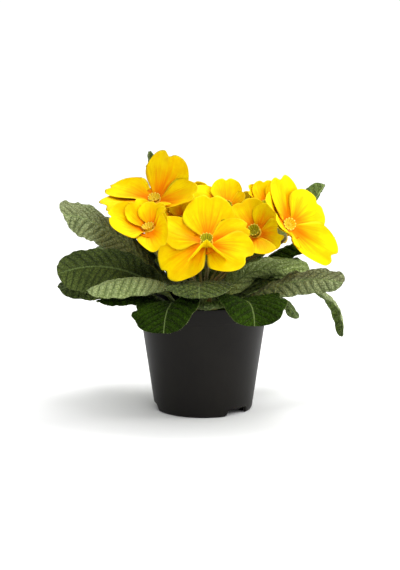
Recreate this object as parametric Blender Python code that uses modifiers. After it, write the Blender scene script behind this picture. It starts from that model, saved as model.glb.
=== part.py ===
"""A potted primrose: a nursery pot of potting soil, a rosette of quilted leaves, a dome of yellow blooms.

The row frame has its origin at the middle of the pot's foot and +Z up. The photograph's camera looks
along +Y.
"""

import math
from dataclasses import dataclass

import bmesh
import bpy
import numpy as np
from mathutils import Matrix

MM = 0.001

# Pot, a standard 90 mm round nursery pot
POT_HEIGHT = 76 * MM
POT_TOP_RADIUS = 45 * MM
POT_FOOT_RADIUS = 33.4 * MM
POT_WALL = 1.2 * MM
POT_COLLAR_HEIGHT = 10 * MM
POT_COLLAR_STEP = 0.5 * MM
POT_FLOOR_LIFT = 5 * MM
POT_SIDES = 48
FOOT_NOTCH_HEIGHT = 4.6 * MM
FOOT_NOTCH_WIDTH = 18 * MM
FOOT_NOTCH_ANGLES = (187, 314, 72)
DRAIN_HOLE_RADIUS = 3.5 * MM
DRAIN_HOLE_CIRCLE = 17 * MM
DRAIN_HOLES = 5

# Soil and the crown that the leaves and stalks spring from
CLEARANCE = 0.3 * MM
SOIL_LEVEL = 66 * MM
SOIL_ROUGHNESS = 0.8 * MM
CROWN_RADIUS = 11 * MM
CROWN_RISE = 9 * MM
CROWN_ROOT = 8 * MM

# Leaf blades
LEAF_THICKNESS = 0.8 * MM
MIDRIB_DEPTH = 2.4 * MM
PETIOLE_SHARE = 0.13
LEAF_ROWS = 10
LEAF_COLUMNS = 4
LEAF_END = 0.985
LEAF_WAVES = 5
LEAF_WAVE_HEIGHT = 1.0 * MM
LEAF_SCALLOP = 0.05
LEAF_QUILT = 0.5 * MM

# Blooms
PETAL_THICKNESS = 0.7 * MM
PETAL_ROWS = 3
PETAL_COLUMNS = 6
PETAL_LAYER = 0.85 * MM
PETAL_WAVE = 0.6 * MM
PETAL_WIDEST = 0.56
THROAT_RADIUS = 4 * MM
FUNNEL_RADIUS = 2 * MM
FUNNEL_DEPTH = 2.4 * MM
TUBE_BORE = 0.9 * MM
TUBE_LENGTH = 15 * MM
CALYX_LENGTH = 11 * MM
CALYX_RADIUS = 3.2 * MM
CALYX_WALL = 0.9 * MM
STALK_RADIUS = 1.1 * MM
STALK_POINTS = 7
STALK_LIFT = 0.75 * MM
EYE_RADIUS = 4.1 * MM
EYE_HEIGHT = 5 * MM
EYE_FOOT_SHARE = 0.65
EYE_ROOM = 1.1 * MM
EYE_FULL_BLOOM = 24 * MM
EYE_SIDES = 10


@dataclass
class Leaf:
    """One leaf. Angles are in degrees, lengths in millimetres.

    azimuth is 0 towards +X and 90 towards +Y, ring the height angle of its seat on the crown. The midrib
    leaves at the pitch rise and ends at the pitch droop, later for a larger late, and turns sideways by
    turn. roll lowers the half on the left, seen from the crown. fold lifts (+) or drops (-) each half from
    the midrib, and curl adds to that at the margin. Both are given as (left, right).
    """

    name: str
    azimuth: float
    ring: float
    length: float
    width: float
    rise: float
    droop: float
    late: float = 1.5
    turn: float = 0
    roll: float = 0
    fold: tuple = (10, 10)
    curl: tuple = (-25, -25)


@dataclass
class Petal:
    """One petal: its angle round the bloom, its tilt forward of the bloom's plane and its bend to the tip.

    fold lifts its margins forward, in degrees. length and width are shares of the bloom's own.
    """

    angle: float
    tilt: float = 10
    bend: float = 0
    fold: float = 0
    length: float = 1
    width: float = 1


@dataclass
class Bloom:
    """One bloom: its throat's middle in millimetres, and where it faces, as azimuth and height angle.

    seat is where its stalk leaves the crown, as an azimuth and a distance from the middle, and bow pushes
    the stalk's upper bend aside. The petals are in the order of their angles, and those in extra stand in
    front of them.
    """

    name: str
    centre: tuple
    azimuth: float
    height: float
    radius: float
    seat: tuple
    petals: tuple
    extra: tuple = ()
    bow: tuple = (0, 0, 0)


def even_petals(spin, tilt, bend=0, fold=0):
    """Five petals evenly spaced round a bloom, from the angle spin."""
    return tuple(Petal(spin + k * 72, tilt, bend, fold) for k in range(5))


LEAVES = (
    Leaf("left_high", 176, 40, 112, 42, 44, 0, 4, turn=40, roll=45, fold=(-15, -5), curl=(45, -30)),
    Leaf("left_middle", 196, 20, 101, 37, 49, -20, 1.3, turn=5, roll=60, fold=(-10, 55), curl=(0, 30)),
    Leaf("left_low", 184, 10, 93, 25, 35, -15, 1.3, turn=25, roll=20, fold=(-25, -10), curl=(-35, -5)),
    Leaf("left_front", 222, 35, 90, 31, 56, -25, 0.9, turn=-25, roll=-15, fold=(-40, 5), curl=(-35, -10)),
    Leaf("left_under", 213, 10, 76, 21, 33, -15, 1.4, turn=5, fold=(-25, -15), curl=(-15, 0)),
    Leaf("front_left", 244, 10, 75, 48, 34, -70, 2, turn=20, roll=-35, fold=(-5, 30), curl=(-25, -10)),
    Leaf("front", 266, 25, 74, 44, 64, -35, 1.2, turn=5, roll=-10, fold=(-5, 15), curl=(-20, -25)),
    Leaf("front_right", 307, 10, 74, 47, 29, -70, 2.7, turn=-35, fold=(10, 20), curl=(-10, -10)),
    Leaf("front_small", 276, 15, 55, 19, 33, -15, 1.6, turn=5, roll=-10, fold=(-10, -5), curl=(-25, -30)),
    Leaf("right_front", 345, 35, 70, 46, 75, -35, 1, turn=25, roll=-80, fold=(50, -65), curl=(40, -25)),
    Leaf("right", 332, 10, 97, 26, 31, -15, 2.4, turn=5, roll=-60, fold=(-20, 20), curl=(-35, -5)),
    Leaf("right_low", 355, 10, 62, 19, 39, -65, 1.5, turn=-15, roll=-10, fold=(-15, -15), curl=(5, 30)),
    Leaf("right_back", 15, 10, 121, 19, 30, -105, 1.9, turn=15, roll=-15, fold=(-30, -10), curl=(-15, -5)),
    Leaf("right_high", 14, 30, 97, 23, 51, -5, 1.7, turn=-20, roll=-5, fold=(-20, -20), curl=(-5, -35)),
    Leaf("right_upright", 17, 50, 111, 34, 37, 55, 1.3, turn=-30, roll=-5, fold=(-5, 40), curl=(-25, 5)),
    Leaf("back_upright", 144, 50, 108, 24, 60, 80, 0.8, turn=30, roll=-15, fold=(20, -5), curl=(-25, 0)),
    Leaf("back_right", 45, 15, 90, 38, 34, -35, 1.5, fold=(5, 5), curl=(-25, -25)),
    Leaf("back", 84, 15, 70, 40, 36, -30, 1.5, fold=(5, 5), curl=(-25, -25)),
    Leaf("back_left", 128, 15, 86, 38, 34, -40, 1.5, fold=(5, 5), curl=(-25, -25)),
    Leaf("back_high_right", 60, 30, 78, 36, 50, -15, 1.5, fold=(10, 10), curl=(-20, -20)),
    Leaf("back_high_left", 151, 30, 96, 36, 45, -20, 1.5, fold=(10, 10), curl=(-20, -20)),
    Leaf("back_high", 110, 30, 74, 36, 50, -15, 1.5, fold=(10, 10), curl=(-20, -20)),
)

BLOOMS = (
    Bloom(
        "bloom_front",
        (2, -44, 121),
        269,
        51,
        30,
        (285, 4.6),
        (
            Petal(16, 20, -10, 0, 1, 0.7),
            Petal(86, 10, 20, 0, 1.2, 1.05),
            Petal(157, 0, 20, 0, 1.2, 0.7),
            Petal(213, -10, -20, 0, 1.2, 1.1),
            Petal(324, 20, -15, 0, 1.2, 1),
        ),
        (Petal(272, 60, 6, -42, 0.74, 1.05),),
    ),
    Bloom(
        "bloom_left_top",
        (-33, -2, 144),
        257,
        56,
        33,
        (195, 4.6),
        (
            Petal(60, 40, 30, 0, 1.1, 1.05),
            Petal(163, 0, 0, 0, 1.15, 0.7),
            Petal(216, 30, -20, 0, 1.2, 1.1),
            Petal(269, 25, 25, 0, 0.8, 0.85),
            Petal(343, 15, 20, 0, 1.2, 0.7),
        ),
        bow=(0, -10, 0),
    ),
    Bloom(
        "bloom_left_low",
        (-36, -37, 129),
        229,
        65,
        26,
        (210, 1.6),
        (
            Petal(24, 45, 10, 0, 0.75, 0.75),
            Petal(94, 40, 10, 0, 0.75, 0.75),
            Petal(156, 60, 15, 0, 0.9, 0.8),
            Petal(229, 45, 0, 0, 1.2, 1.1),
            Petal(328, -15, 0, 0, 0.9, 0.8),
        ),
    ),
    Bloom("bloom_middle", (-15, -9, 129), 255, 55, 18, (150, 4.6), even_petals(90, 55, 10)),
    Bloom(
        "bloom_back",
        (16, 18, 135),
        264,
        43,
        23,
        (90, 1.6),
        (
            Petal(2, 30, 35, 0, 0.7, 0.9),
            Petal(94, 5, 10, 0, 1.05, 0.85),
            Petal(163, 30, 0, 0, 1.2, 0.9),
            Petal(220, 10, 5, 0, 0.95, 1),
            Petal(304, 15, 0, 0, 0.95, 1),
        ),
    ),
    Bloom(
        "bloom_right_middle",
        (35, -6, 122),
        251,
        32,
        24,
        (330, 1.6),
        (
            Petal(58, 30, -10, 0, 0.9, 0.75),
            Petal(122, 20, -15, 0, 1.05, 1.1),
            Petal(202, 35, -5, 0, 0.9, 0.9),
            Petal(275, 40, 0, 0, 1.1, 1.2),
            Petal(344, 5, -15, 0, 0.85, 0.9),
        ),
    ),
    Bloom(
        "bloom_right",
        (56, -38, 132),
        288,
        23,
        32,
        (330, 4.6),
        (
            Petal(32, 0, -15, 0, 0.9, 0.9),
            Petal(101, 15, 10, 0, 1.05, 0.75),
            Petal(176, 65, -10, 0, 1.1, 1.1),
            Petal(228, 60, 5, 0, 0.85, 0.8),
            Petal(318, 0, 10, 0, 1.2, 0.85),
        ),
        bow=(26, 1, -4),
    ),
    Bloom("bloom_right_back", (43, 22, 135), 285, 60, 21, (15, 4.6), even_petals(90, 48, 10)),
    Bloom("bloom_far_left", (-10, 39, 130), 105, 46, 26, (105, 4.6), even_petals(90, 22, 0)),
    Bloom("bloom_far_right", (40, 48, 120), 50, 35, 26, (60, 4.6), even_petals(54, 22, 0)),
)


def direction(azimuth, pitch):
    """Unit vectors at azimuths and pitches in degrees, with any shape of arrays."""
    a, p = np.radians(azimuth), np.radians(pitch)
    parts = np.broadcast_arrays(np.cos(p) * np.cos(a), np.cos(p) * np.sin(a), np.sin(p))
    return np.stack(parts, axis=-1)


def smooth(x):
    """Rises smoothly from 0 to 1 as x goes from 0 to 1."""
    x = np.clip(x, 0, 1)
    return x * x * (3 - 2 * x)


def running_sum(steps):
    """Sums along the first axis, starting from zero."""
    return np.concatenate([np.zeros_like(steps[:1]), np.cumsum(steps, axis=0)])


def leaf_outline(s):
    """Half-width of a leaf, as a share of its largest, at the share s of its length: petiole, then spoon."""
    widest = 0.64
    blade = PETIOLE_SHARE + (1 - PETIOLE_SHARE) * smooth((s - 0.10) / (widest - 0.10))
    end = np.clip((s - widest) / (1 - widest), 0, 1)
    return np.where(s < widest, blade, (1 - end**2.3) ** (1 / 2.3))


def arc(length, start, turn, share):
    """Run and rise, at a share of its length, of a strip whose angle goes from start by turn degrees."""
    a = np.radians(start)
    t = np.radians(np.where(np.abs(turn) > 0.01, turn, 0.01))
    run = length / t * (np.sin(a + t * share) - np.sin(a))
    rise = length / t * (np.cos(a) - np.cos(a + t * share))
    return run, rise


def crown_seat(azimuth, ring):
    """A point just off the crown's dome at that azimuth and height angle, and the pitch of its normal."""
    a, b = CROWN_RADIUS, CROWN_RISE
    out, up = a * math.cos(math.radians(ring)), b * math.sin(math.radians(ring))
    pitch = math.degrees(math.atan2(up / b**2, out / a**2))
    foot = direction(azimuth, 0) * out + np.array([0, 0, SOIL_LEVEL + up])
    return foot + direction(azimuth, pitch) * CLEARANCE, pitch


def leaf_surface(leaf, rows, columns):
    """Points of a leaf's upper face as an array (rows + 1, columns + 1, 3), and its thickness at each."""
    s = np.linspace(0, LEAF_END, rows + 1)
    along = s / LEAF_END
    length, half_width = leaf.length * MM, leaf.width / 2 * MM
    seat, seat_pitch = crown_seat(leaf.azimuth, leaf.ring)
    fine = 8
    t = (np.arange(rows * fine) + 0.5) / (rows * fine) * LEAF_END
    pitch = leaf.rise + (leaf.droop - leaf.rise) * t**leaf.late
    pitch = seat_pitch + (pitch - seat_pitch) * smooth(t / 0.15)
    bearing = leaf.azimuth + leaf.turn * t**1.5
    midrib = seat + running_sum(direction(bearing, pitch) * length * LEAF_END / (rows * fine))[::fine]
    ahead = np.gradient(midrib, axis=0)
    ahead /= np.linalg.norm(ahead, axis=1, keepdims=True)
    bearing = (leaf.azimuth + leaf.turn * s**1.5)[:, None]
    left = direction(bearing[:, 0] + 90, 0 * s)
    left -= ahead * np.sum(left * ahead, axis=1, keepdims=True)
    left /= np.linalg.norm(left, axis=1, keepdims=True)
    up = np.cross(ahead, left)
    roll = np.radians(leaf.roll * smooth(s / 0.45))[:, None]
    left, up = left * np.cos(roll) - up * np.sin(roll), left * np.sin(roll) + up * np.cos(roll)
    wave = np.cos(2 * np.pi * LEAF_WAVES * along)
    reach = half_width * leaf_outline(s) * (1 + LEAF_SCALLOP * wave)
    grid = np.empty((rows + 1, columns + 1, 3))
    thick = np.empty((rows + 1, columns + 1))
    opened = smooth((s - 0.05) / 0.4)
    for j in range(columns + 1):
        t = 2 * j / columns - 1
        side = 0 if t > 0 else 1
        run, rise = np.empty(rows + 1), np.empty(rows + 1)
        for i in range(rows + 1):
            start, turn = leaf.fold[side] * opened[i], leaf.curl[side] * opened[i]
            run[i], rise[i] = arc(reach[i], start, turn, abs(t))
        ripple = opened * wave * (LEAF_WAVE_HEIGHT * t**2 + LEAF_QUILT * abs(t) * (1 - abs(t)) * 4)
        across = math.copysign(1, t) * run
        grid[:, j] = midrib + left * across[:, None] + up * (rise + ripple)[:, None]
        rib = max(0, 1 - abs(t) * 2) * (1 - 0.8 * s)
        thick[:, j] = LEAF_THICKNESS + (MIDRIB_DEPTH - LEAF_THICKNESS) * rib
    thick[0] = np.maximum(thick[0], LEAF_THICKNESS)
    return grid[:, ::-1], thick[:, ::-1]


def bloom_axes(bloom):
    """The bloom's throat point, and its right, up and facing directions, seen by someone whom it faces."""
    facing = direction(bloom.azimuth, bloom.height)
    right = np.cross([0, 0, 1], facing)
    right /= np.linalg.norm(right)
    return np.array(bloom.centre) * MM, right, np.cross(facing, right), facing


def petal_outline(width, length, sectors, rows, columns):
    """A petal laid flat, heart-shaped on a claw that fills its sector: its side and outward coordinates."""
    v = np.linspace(0, 1, rows + 1)[:, None]
    w = np.sin(np.linspace(-1, 1, columns + 1) * 1.25)[None, :] / math.sin(1.25)
    claw = np.radians(np.where(w > 0, sectors[1], sectors[0]) * w)
    rim = 0.42 + 0.58 * (1 - np.abs(w) ** 2.6) ** 0.62 - 0.10 * np.clip(1 - (w / 0.42) ** 2, 0, 1)
    side = THROAT_RADIUS * np.sin(claw) * (1 - v) ** 2 + w * width * np.sin(np.pi / 2 * v) ** 1.5
    outward = THROAT_RADIUS * (1 - (1 - np.cos(claw)) * (1 - v)) + length * v * rim
    return v, w, side, outward


def round_bloom(petals, values, angle):
    """The value at an angle round a bloom, eased from each petal's own to the next one's."""
    angles = np.array([petal.angle for petal in petals])
    angles = np.concatenate([angles[-1:] - 360, angles, angles[:1] + 360])
    values = np.array([values[-1], *values, values[0]])
    turned_to = (angle - angles[0]) % 360 + angles[0]
    k = np.clip(np.searchsorted(angles, turned_to, side="right") - 1, 0, len(petals))
    share = smooth((turned_to - angles[k]) / (angles[k + 1] - angles[k]))
    return values[k] + (values[k + 1] - values[k]) * share


def petal_surface(bloom, number, rows, columns):
    """Points of a petal's front face as an array (rows + 1, columns + 1, 3).

    All petals of a bloom lie on one cupped surface, each with its left margin over the next one and its right
    margin under the last, so that they never cross.
    """
    throat, right, up, facing = bloom_axes(bloom)
    petals = bloom.petals
    petal = petals[number]
    count = len(petals)
    sectors = (
        (petal.angle - petals[number - 1].angle) % 360 / 2,
        (petals[(number + 1) % count].angle - petal.angle) % 360 / 2,
    )
    full = bloom.radius * MM - THROAT_RADIUS
    width = bloom.radius * MM * PETAL_WIDEST * petal.width
    v, w, side, outward = petal_outline(width, full * petal.length, sectors, rows, columns)
    flat = np.hypot(side, outward)
    reach = np.maximum(flat - THROAT_RADIUS, 0)
    swing = np.degrees(np.arctan2(side, outward))
    angle = petal.angle + swing
    for _ in range(3):
        tilt = round_bloom(petals, [p.tilt for p in petals], angle)
        bend = round_bloom(petals, [p.bend for p in petals], angle)
        run, rise = arc(full, tilt, bend, reach / full)
        angle = petal.angle + swing * np.minimum(flat / (THROAT_RADIUS + run), 1.5)
    lean = np.radians(tilt + bend * reach / full)
    layer = PETAL_LAYER * np.clip(w * 2, -1, 1) * smooth(v / 0.2)
    wave = PETAL_WAVE * v**2 * np.cos(2 * np.pi * w)
    fold = np.abs(side) * np.sin(np.radians(petal.fold)) * smooth(v * 2)
    lift = layer + wave + fold
    out = THROAT_RADIUS + run - np.sin(lean) * lift
    angle = np.radians(angle)
    across = np.cos(angle)[..., None] * right + np.sin(angle)[..., None] * up
    return throat + out[..., None] * across + (rise + np.cos(lean) * lift)[..., None] * facing


def extra_petal_surface(bloom, petal, rows, columns):
    """Points of a petal that stands in front of the others, folded along its middle."""
    throat, right, up, facing = bloom_axes(bloom)
    turn = math.radians(petal.angle)
    ahead = right * math.cos(turn) + up * math.sin(turn)
    aside = up * math.cos(turn) - right * math.sin(turn)
    length = (bloom.radius * MM - THROAT_RADIUS) * petal.length
    width = bloom.radius * MM * PETAL_WIDEST * petal.width
    v, w, side, outward = petal_outline(width, length, (20, 20), rows, columns)
    reach = outward - THROAT_RADIUS
    run, rise = arc(length, petal.tilt, petal.bend, reach / length)
    lean = np.radians(petal.tilt + petal.bend * reach / length)
    fold = np.radians(petal.fold * smooth(v * 1.5))
    lift = np.abs(side) * np.sin(fold) + PETAL_WAVE * v**2 * np.cos(2 * np.pi * w)
    out = THROAT_RADIUS - PETAL_THICKNESS / 2 + run - np.sin(lean) * lift
    forward = rise + np.cos(lean) * lift - PETAL_THICKNESS / 2
    across = side * np.cos(fold)
    return throat + out[..., None] * ahead + forward[..., None] * facing + across[..., None] * aside


# Blender objects

def clear_scene():
    for obj in list(bpy.data.objects):
        bpy.data.objects.remove(obj, do_unlink=True)


def collection(name, hidden=False):
    made = bpy.data.collections.new(name)
    bpy.context.scene.collection.children.link(made)
    made.hide_render = hidden
    return made


def material(name, colour, roughness, metallic=0):
    made = bpy.data.materials.new(name)
    made.use_nodes = True
    shader = made.node_tree.nodes["Principled BSDF"]
    shader.inputs["Base Color"].default_value = (*colour, 1)
    shader.inputs["Roughness"].default_value = roughness
    shader.inputs["Metallic"].default_value = metallic
    made.diffuse_color = (*colour, 1)
    return made


def add_object(name, mesh, where, finish=None):
    obj = bpy.data.objects.new(name, mesh)
    where.objects.link(obj)
    if finish:
        obj.data.materials.append(finish)
    return obj


def evaluated_mesh(obj):
    """The object's mesh with its modifiers applied."""
    bpy.context.view_layer.update()
    graph = bpy.context.evaluated_depsgraph_get()
    return bpy.data.meshes.new_from_object(obj.evaluated_get(graph))


def bake_modifiers(obj):
    """Replaces the object's mesh by its evaluated one, so that it can join a Boolean."""
    mesh = evaluated_mesh(obj)
    obj.modifiers.clear()
    obj.data = mesh
    return obj


def turned(name, profile, steps, where, finish=None):
    """A solid turned round Z from (radius, height) points that run down the outer side."""
    mesh = bpy.data.meshes.new(name)
    shape = bmesh.new()
    points = [shape.verts.new((r, 0, z)) for r, z in profile]
    for a, b in zip(points, points[1:]):
        shape.edges.new((a, b))
    shape.to_mesh(mesh)
    shape.free()
    obj = add_object(name, mesh, where, finish)
    screw = obj.modifiers.new("Turn", "SCREW")
    screw.steps = screw.render_steps = steps
    screw.use_merge_vertices = True
    screw.merge_threshold = 0.00005
    return obj


def join_rows(shape, rows):
    """Fills between rows of points with triangles that mirror about the middle column."""
    columns = len(rows[0]) - 1
    for near, far in zip(rows, rows[1:]):
        for j in range(columns):
            a, b, c, d = near[j], near[j + 1], far[j + 1], far[j]
            halves = ((a, b, c), (a, c, d)) if j < columns / 2 else ((a, b, d), (b, c, d))
            for half in halves:
                shape.faces.new(half)


def join_claw(shape, low, high):
    """Fills between three points across a claw and the many across the petal's first row."""
    middle = len(high) // 2
    for corner, part in ((low[0], high[: middle + 1]), (low[2], high[middle:])):
        split = 1 if corner is low[0] else len(part) - 2
        for n in range(len(part) - 1):
            own = n < split if corner is low[0] else n >= split
            shape.faces.new((corner if own else low[1], part[n + 1], part[n]))
        shape.faces.new((low[0], low[1], part[split]) if corner is low[0] else (low[1], low[2], part[split]))


def sheet(name, points, where, finish=None):
    """An open sheet through a grid of points."""
    mesh = bpy.data.meshes.new(name)
    shape = bmesh.new()
    join_rows(shape, [[shape.verts.new(p) for p in row] for row in points])
    shape.to_mesh(mesh)
    shape.free()
    return add_object(name, mesh, where, finish)


def thicken(obj, thickness, weights=None):
    """Gives a sheet its thickness below its front face, scaled at each point by the weights."""
    solid = obj.modifiers.new("Thickness", "SOLIDIFY")
    solid.thickness = thickness
    solid.offset = -1
    if weights is not None:
        group = obj.vertex_groups.new(name="thickness")
        for index, weight in enumerate(weights.ravel()):
            group.add([index], float(weight), "REPLACE")
        solid.vertex_group = group.name
    return obj


def tube(name, points, radius, where, bevel_resolution=1):
    """A round tube through the points, as a curve with filled caps."""
    curve = bpy.data.curves.new(name, "CURVE")
    curve.dimensions = "3D"
    curve.bevel_depth = radius
    curve.bevel_resolution = bevel_resolution
    curve.use_fill_caps = True
    spline = curve.splines.new("POLY")
    spline.points.add(len(points) - 1)
    for spot, point in zip(spline.points, points):
        spot.co = (*point, 1)
    obj = bpy.data.objects.new(name, curve)
    where.objects.link(obj)
    return obj


def tube_to_mesh(obj, where):
    """The tube as a mesh with its caps welded on, and the curve removed."""
    mesh = evaluated_mesh(obj)
    shape = bmesh.new()
    shape.from_mesh(mesh)
    bmesh.ops.remove_doubles(shape, verts=shape.verts, dist=0.00001)
    bmesh.ops.recalc_face_normals(shape, faces=shape.faces)
    shape.to_mesh(mesh)
    shape.free()
    made = bpy.data.objects.new(obj.name + "_mesh", mesh)
    made.matrix_world = obj.matrix_world
    where.objects.link(made)
    bpy.data.objects.remove(obj, do_unlink=True)
    return made


def boolean(obj, operation, other=None, others=None, solver="EXACT"):
    cut = obj.modifiers.new(operation.title(), "BOOLEAN")
    cut.operation = operation
    cut.solver = solver
    if others:
        cut.operand_type = "COLLECTION"
        cut.collection = others
    else:
        cut.object = other
    return cut


def union_of(name, pieces, where, finish):
    """One object from overlapping pieces, by a Boolean union on their collection, applied."""
    first, rest = pieces[0], pieces[1:]
    joined = collection(name + "_pieces", hidden=True)
    for piece in rest:
        for held in list(piece.users_collection):
            held.objects.unlink(piece)
        joined.objects.link(piece)
    boolean(first, "UNION", others=joined)
    mesh = evaluated_mesh(first)
    mesh.materials.clear()
    obj = add_object("union", mesh, where, finish)
    obj.matrix_world = first.matrix_world.copy()
    for piece in pieces:
        bpy.data.objects.remove(piece, do_unlink=True)
    bpy.data.collections.remove(joined)
    obj.name = name
    return obj


def placed(obj, origin, right, up, facing):
    """Moves a mesh modelled round Z so that +Z faces as the bloom does."""
    turn = np.eye(4)
    turn[:3, 0], turn[:3, 1], turn[:3, 2], turn[:3, 3] = right, up, facing, origin
    obj.matrix_world = Matrix(turn.tolist())
    return obj


def rounded(obj):
    obj.data.shade_smooth()
    obj.data.set_sharp_from_angle(angle=math.radians(40))
    return obj


# Pot, soil and crown

def pot_radius(z):
    """Outer radius of the pot's wall below its collar."""
    top = POT_TOP_RADIUS - POT_COLLAR_STEP
    return POT_FOOT_RADIUS + (top - POT_FOOT_RADIUS) * z / POT_HEIGHT


def pot_inside(z):
    return pot_radius(z) - POT_WALL


def make_pot(where, cutters, finish):
    collar = POT_HEIGHT - POT_COLLAR_HEIGHT
    floor_top = POT_FLOOR_LIFT + POT_WALL
    profile = (
        (0, floor_top),
        (pot_inside(floor_top), floor_top),
        (pot_inside(collar), collar),
        (pot_inside(POT_HEIGHT), POT_HEIGHT),
        (POT_TOP_RADIUS, POT_HEIGHT),
        (pot_radius(collar) + POT_COLLAR_STEP, collar),
        (pot_radius(collar), collar - POT_COLLAR_STEP),
        (pot_radius(1.2 * MM), 1.2 * MM),
        (POT_FOOT_RADIUS - 0.5 * MM, 0),
        (pot_inside(0) - 0.8 * MM, 0),
        (pot_inside(POT_FLOOR_LIFT) - 0.4 * MM, POT_FLOOR_LIFT),
        (0, POT_FLOOR_LIFT),
    )
    pot = turned("pot", profile, POT_SIDES, where, finish)
    for k, angle in enumerate(FOOT_NOTCH_ANGLES):
        bpy.ops.mesh.primitive_cube_add(size=1)
        notch = bpy.context.object
        notch.name = f"notch_cutter_{k + 1}"
        notch.scale = (12 * MM, FOOT_NOTCH_WIDTH, 2 * FOOT_NOTCH_HEIGHT)
        notch.location = direction(angle, 0) * POT_FOOT_RADIUS
        notch.rotation_euler.z = math.radians(angle)
        file_cutter(notch, cutters)
        boolean(pot, "DIFFERENCE", notch)
    for k in range(DRAIN_HOLES):
        bpy.ops.mesh.primitive_cylinder_add(vertices=10, radius=DRAIN_HOLE_RADIUS, depth=6 * MM)
        hole = bpy.context.object
        hole.name = f"drain_cutter_{k + 1}"
        hole.location = direction(90 + 72 * k, 0) * DRAIN_HOLE_CIRCLE + np.array([0, 0, POT_FLOOR_LIFT])
        file_cutter(hole, cutters)
        boolean(pot, "DIFFERENCE", hole)
    return pot


def file_cutter(obj, cutters):
    for held in list(obj.users_collection):
        held.objects.unlink(obj)
    cutters.objects.link(obj)
    obj.hide_render = True
    obj.display_type = "WIRE"


def make_soil(where, finish):
    bottom = POT_FLOOR_LIFT + POT_WALL + CLEARANCE
    edge = pot_inside(SOIL_LEVEL) - CLEARANCE
    recess = CROWN_RADIUS + CLEARANCE
    profile = (
        (0, SOIL_LEVEL - CROWN_ROOT - CLEARANCE),
        (recess, SOIL_LEVEL - CROWN_ROOT - CLEARANCE),
        (recess, SOIL_LEVEL - 3 * MM),
        (0.5 * edge, SOIL_LEVEL - 1.5 * MM),
        (0.7 * edge, SOIL_LEVEL),
        (0.86 * edge, SOIL_LEVEL - 0.4 * MM),
        (edge, SOIL_LEVEL - 1.5 * MM),
        (pot_inside(bottom) - CLEARANCE, bottom),
        (0, bottom),
    )
    soil = turned("potting_soil", profile, 24, where, finish)
    bake_modifiers(soil)
    chance = np.random.default_rng(7)
    for vert in soil.data.vertices:
        reach = math.hypot(vert.co.x, vert.co.y)
        if recess + 1 * MM < reach < edge - 1 * MM and vert.co.z > SOIL_LEVEL - 2 * MM:
            vert.co.z += chance.uniform(-SOIL_ROUGHNESS, SOIL_ROUGHNESS)
    return soil


def make_crown(where, finish):
    dome = [(0, SOIL_LEVEL + CROWN_RISE)]
    for a in np.radians([66, 44, 22, 0]):
        dome.append((CROWN_RADIUS * math.cos(a), SOIL_LEVEL + CROWN_RISE * math.sin(a)))
    root = ((CROWN_RADIUS, SOIL_LEVEL - CROWN_ROOT), (0, SOIL_LEVEL - CROWN_ROOT))
    return turned("crown", (*dome, *root), 20, where, finish)


# Leaves and blooms

def make_leaf(leaf, where, finish):
    points, thick = leaf_surface(leaf, LEAF_ROWS, LEAF_COLUMNS)
    blade = sheet("leaf_" + leaf.name, points, where, finish)
    return thicken(blade, MIDRIB_DEPTH, thick / MIDRIB_DEPTH)


def make_corolla(bloom, where, finish):
    """The petals and the tube below them, as one sheet joined round the throat, made solid."""
    throat, right, up, facing = bloom_axes(bloom)
    count = len(bloom.petals)
    mesh = bpy.data.meshes.new(bloom.name + "_corolla")
    shape = bmesh.new()
    grids = [petal_surface(bloom, k, PETAL_ROWS, PETAL_COLUMNS) for k in range(count)]
    middle = PETAL_COLUMNS // 2
    ring = []
    for grid in grids:
        ring += [shape.verts.new(grid[0, 0]), shape.verts.new(grid[0, middle])]
    for k, grid in enumerate(grids):
        low = [ring[2 * k], ring[2 * k + 1], ring[(2 * k + 2) % len(ring)]]
        rows = [[shape.verts.new(point) for point in row] for row in grid[1:]]
        join_claw(shape, low, rows[0])
        join_rows(shape, rows)
    loops = [ring]
    for radius, depth in ((FUNNEL_RADIUS, FUNNEL_DEPTH), (TUBE_BORE, 5 * MM), (TUBE_BORE, TUBE_LENGTH)):
        loop = []
        for vert in ring:
            spoke = np.array(vert.co) - throat
            spoke -= facing * spoke.dot(facing)
            loop.append(shape.verts.new(throat + spoke / np.linalg.norm(spoke) * radius - facing * depth))
        loops.append(loop)
    for high, low in zip(loops, loops[1:]):
        for k in range(len(ring)):
            n = (k + 1) % len(ring)
            shape.faces.new((high[k], low[k], low[n]))
            shape.faces.new((high[k], low[n], high[n]))
    shape.to_mesh(mesh)
    shape.free()
    corolla = thicken(add_object(mesh.name, mesh, where, finish), PETAL_THICKNESS)
    if not bloom.extra:
        return corolla
    pieces = [bake_modifiers(corolla)]
    for k, petal in enumerate(bloom.extra):
        points = extra_petal_surface(bloom, petal, PETAL_ROWS, PETAL_COLUMNS)
        pieces.append(thicken(sheet(f"{bloom.name}_petal_{k + 1}", points, where), PETAL_THICKNESS))
    return union_of(mesh.name, pieces, where, finish)


def stalk_path(bloom):
    """Points of the flower stalk, from the crown up and round to the calyx."""
    throat, _, _, facing = bloom_axes(bloom)
    azimuth, reach = bloom.seat
    out = reach * MM
    dome = CROWN_RISE * math.sqrt(1 - (out / CROWN_RADIUS) ** 2)
    start = direction(azimuth, 0) * out + np.array([0, 0, SOIL_LEVEL + dome + STALK_LIFT])
    end = throat - facing * (TUBE_LENGTH + CLEARANCE + 1.5 * MM)
    span = np.linalg.norm(end - start)
    leave = start + direction(azimuth, 82) * span * 0.4
    arrive = end - facing * span * 0.3 + np.array(bloom.bow) * MM
    t = np.linspace(0, 1, STALK_POINTS)[:, None]
    return (1 - t) ** 3 * start + 3 * (1 - t) ** 2 * t * leave + 3 * (1 - t) * t**2 * arrive + t**3 * end


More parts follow.
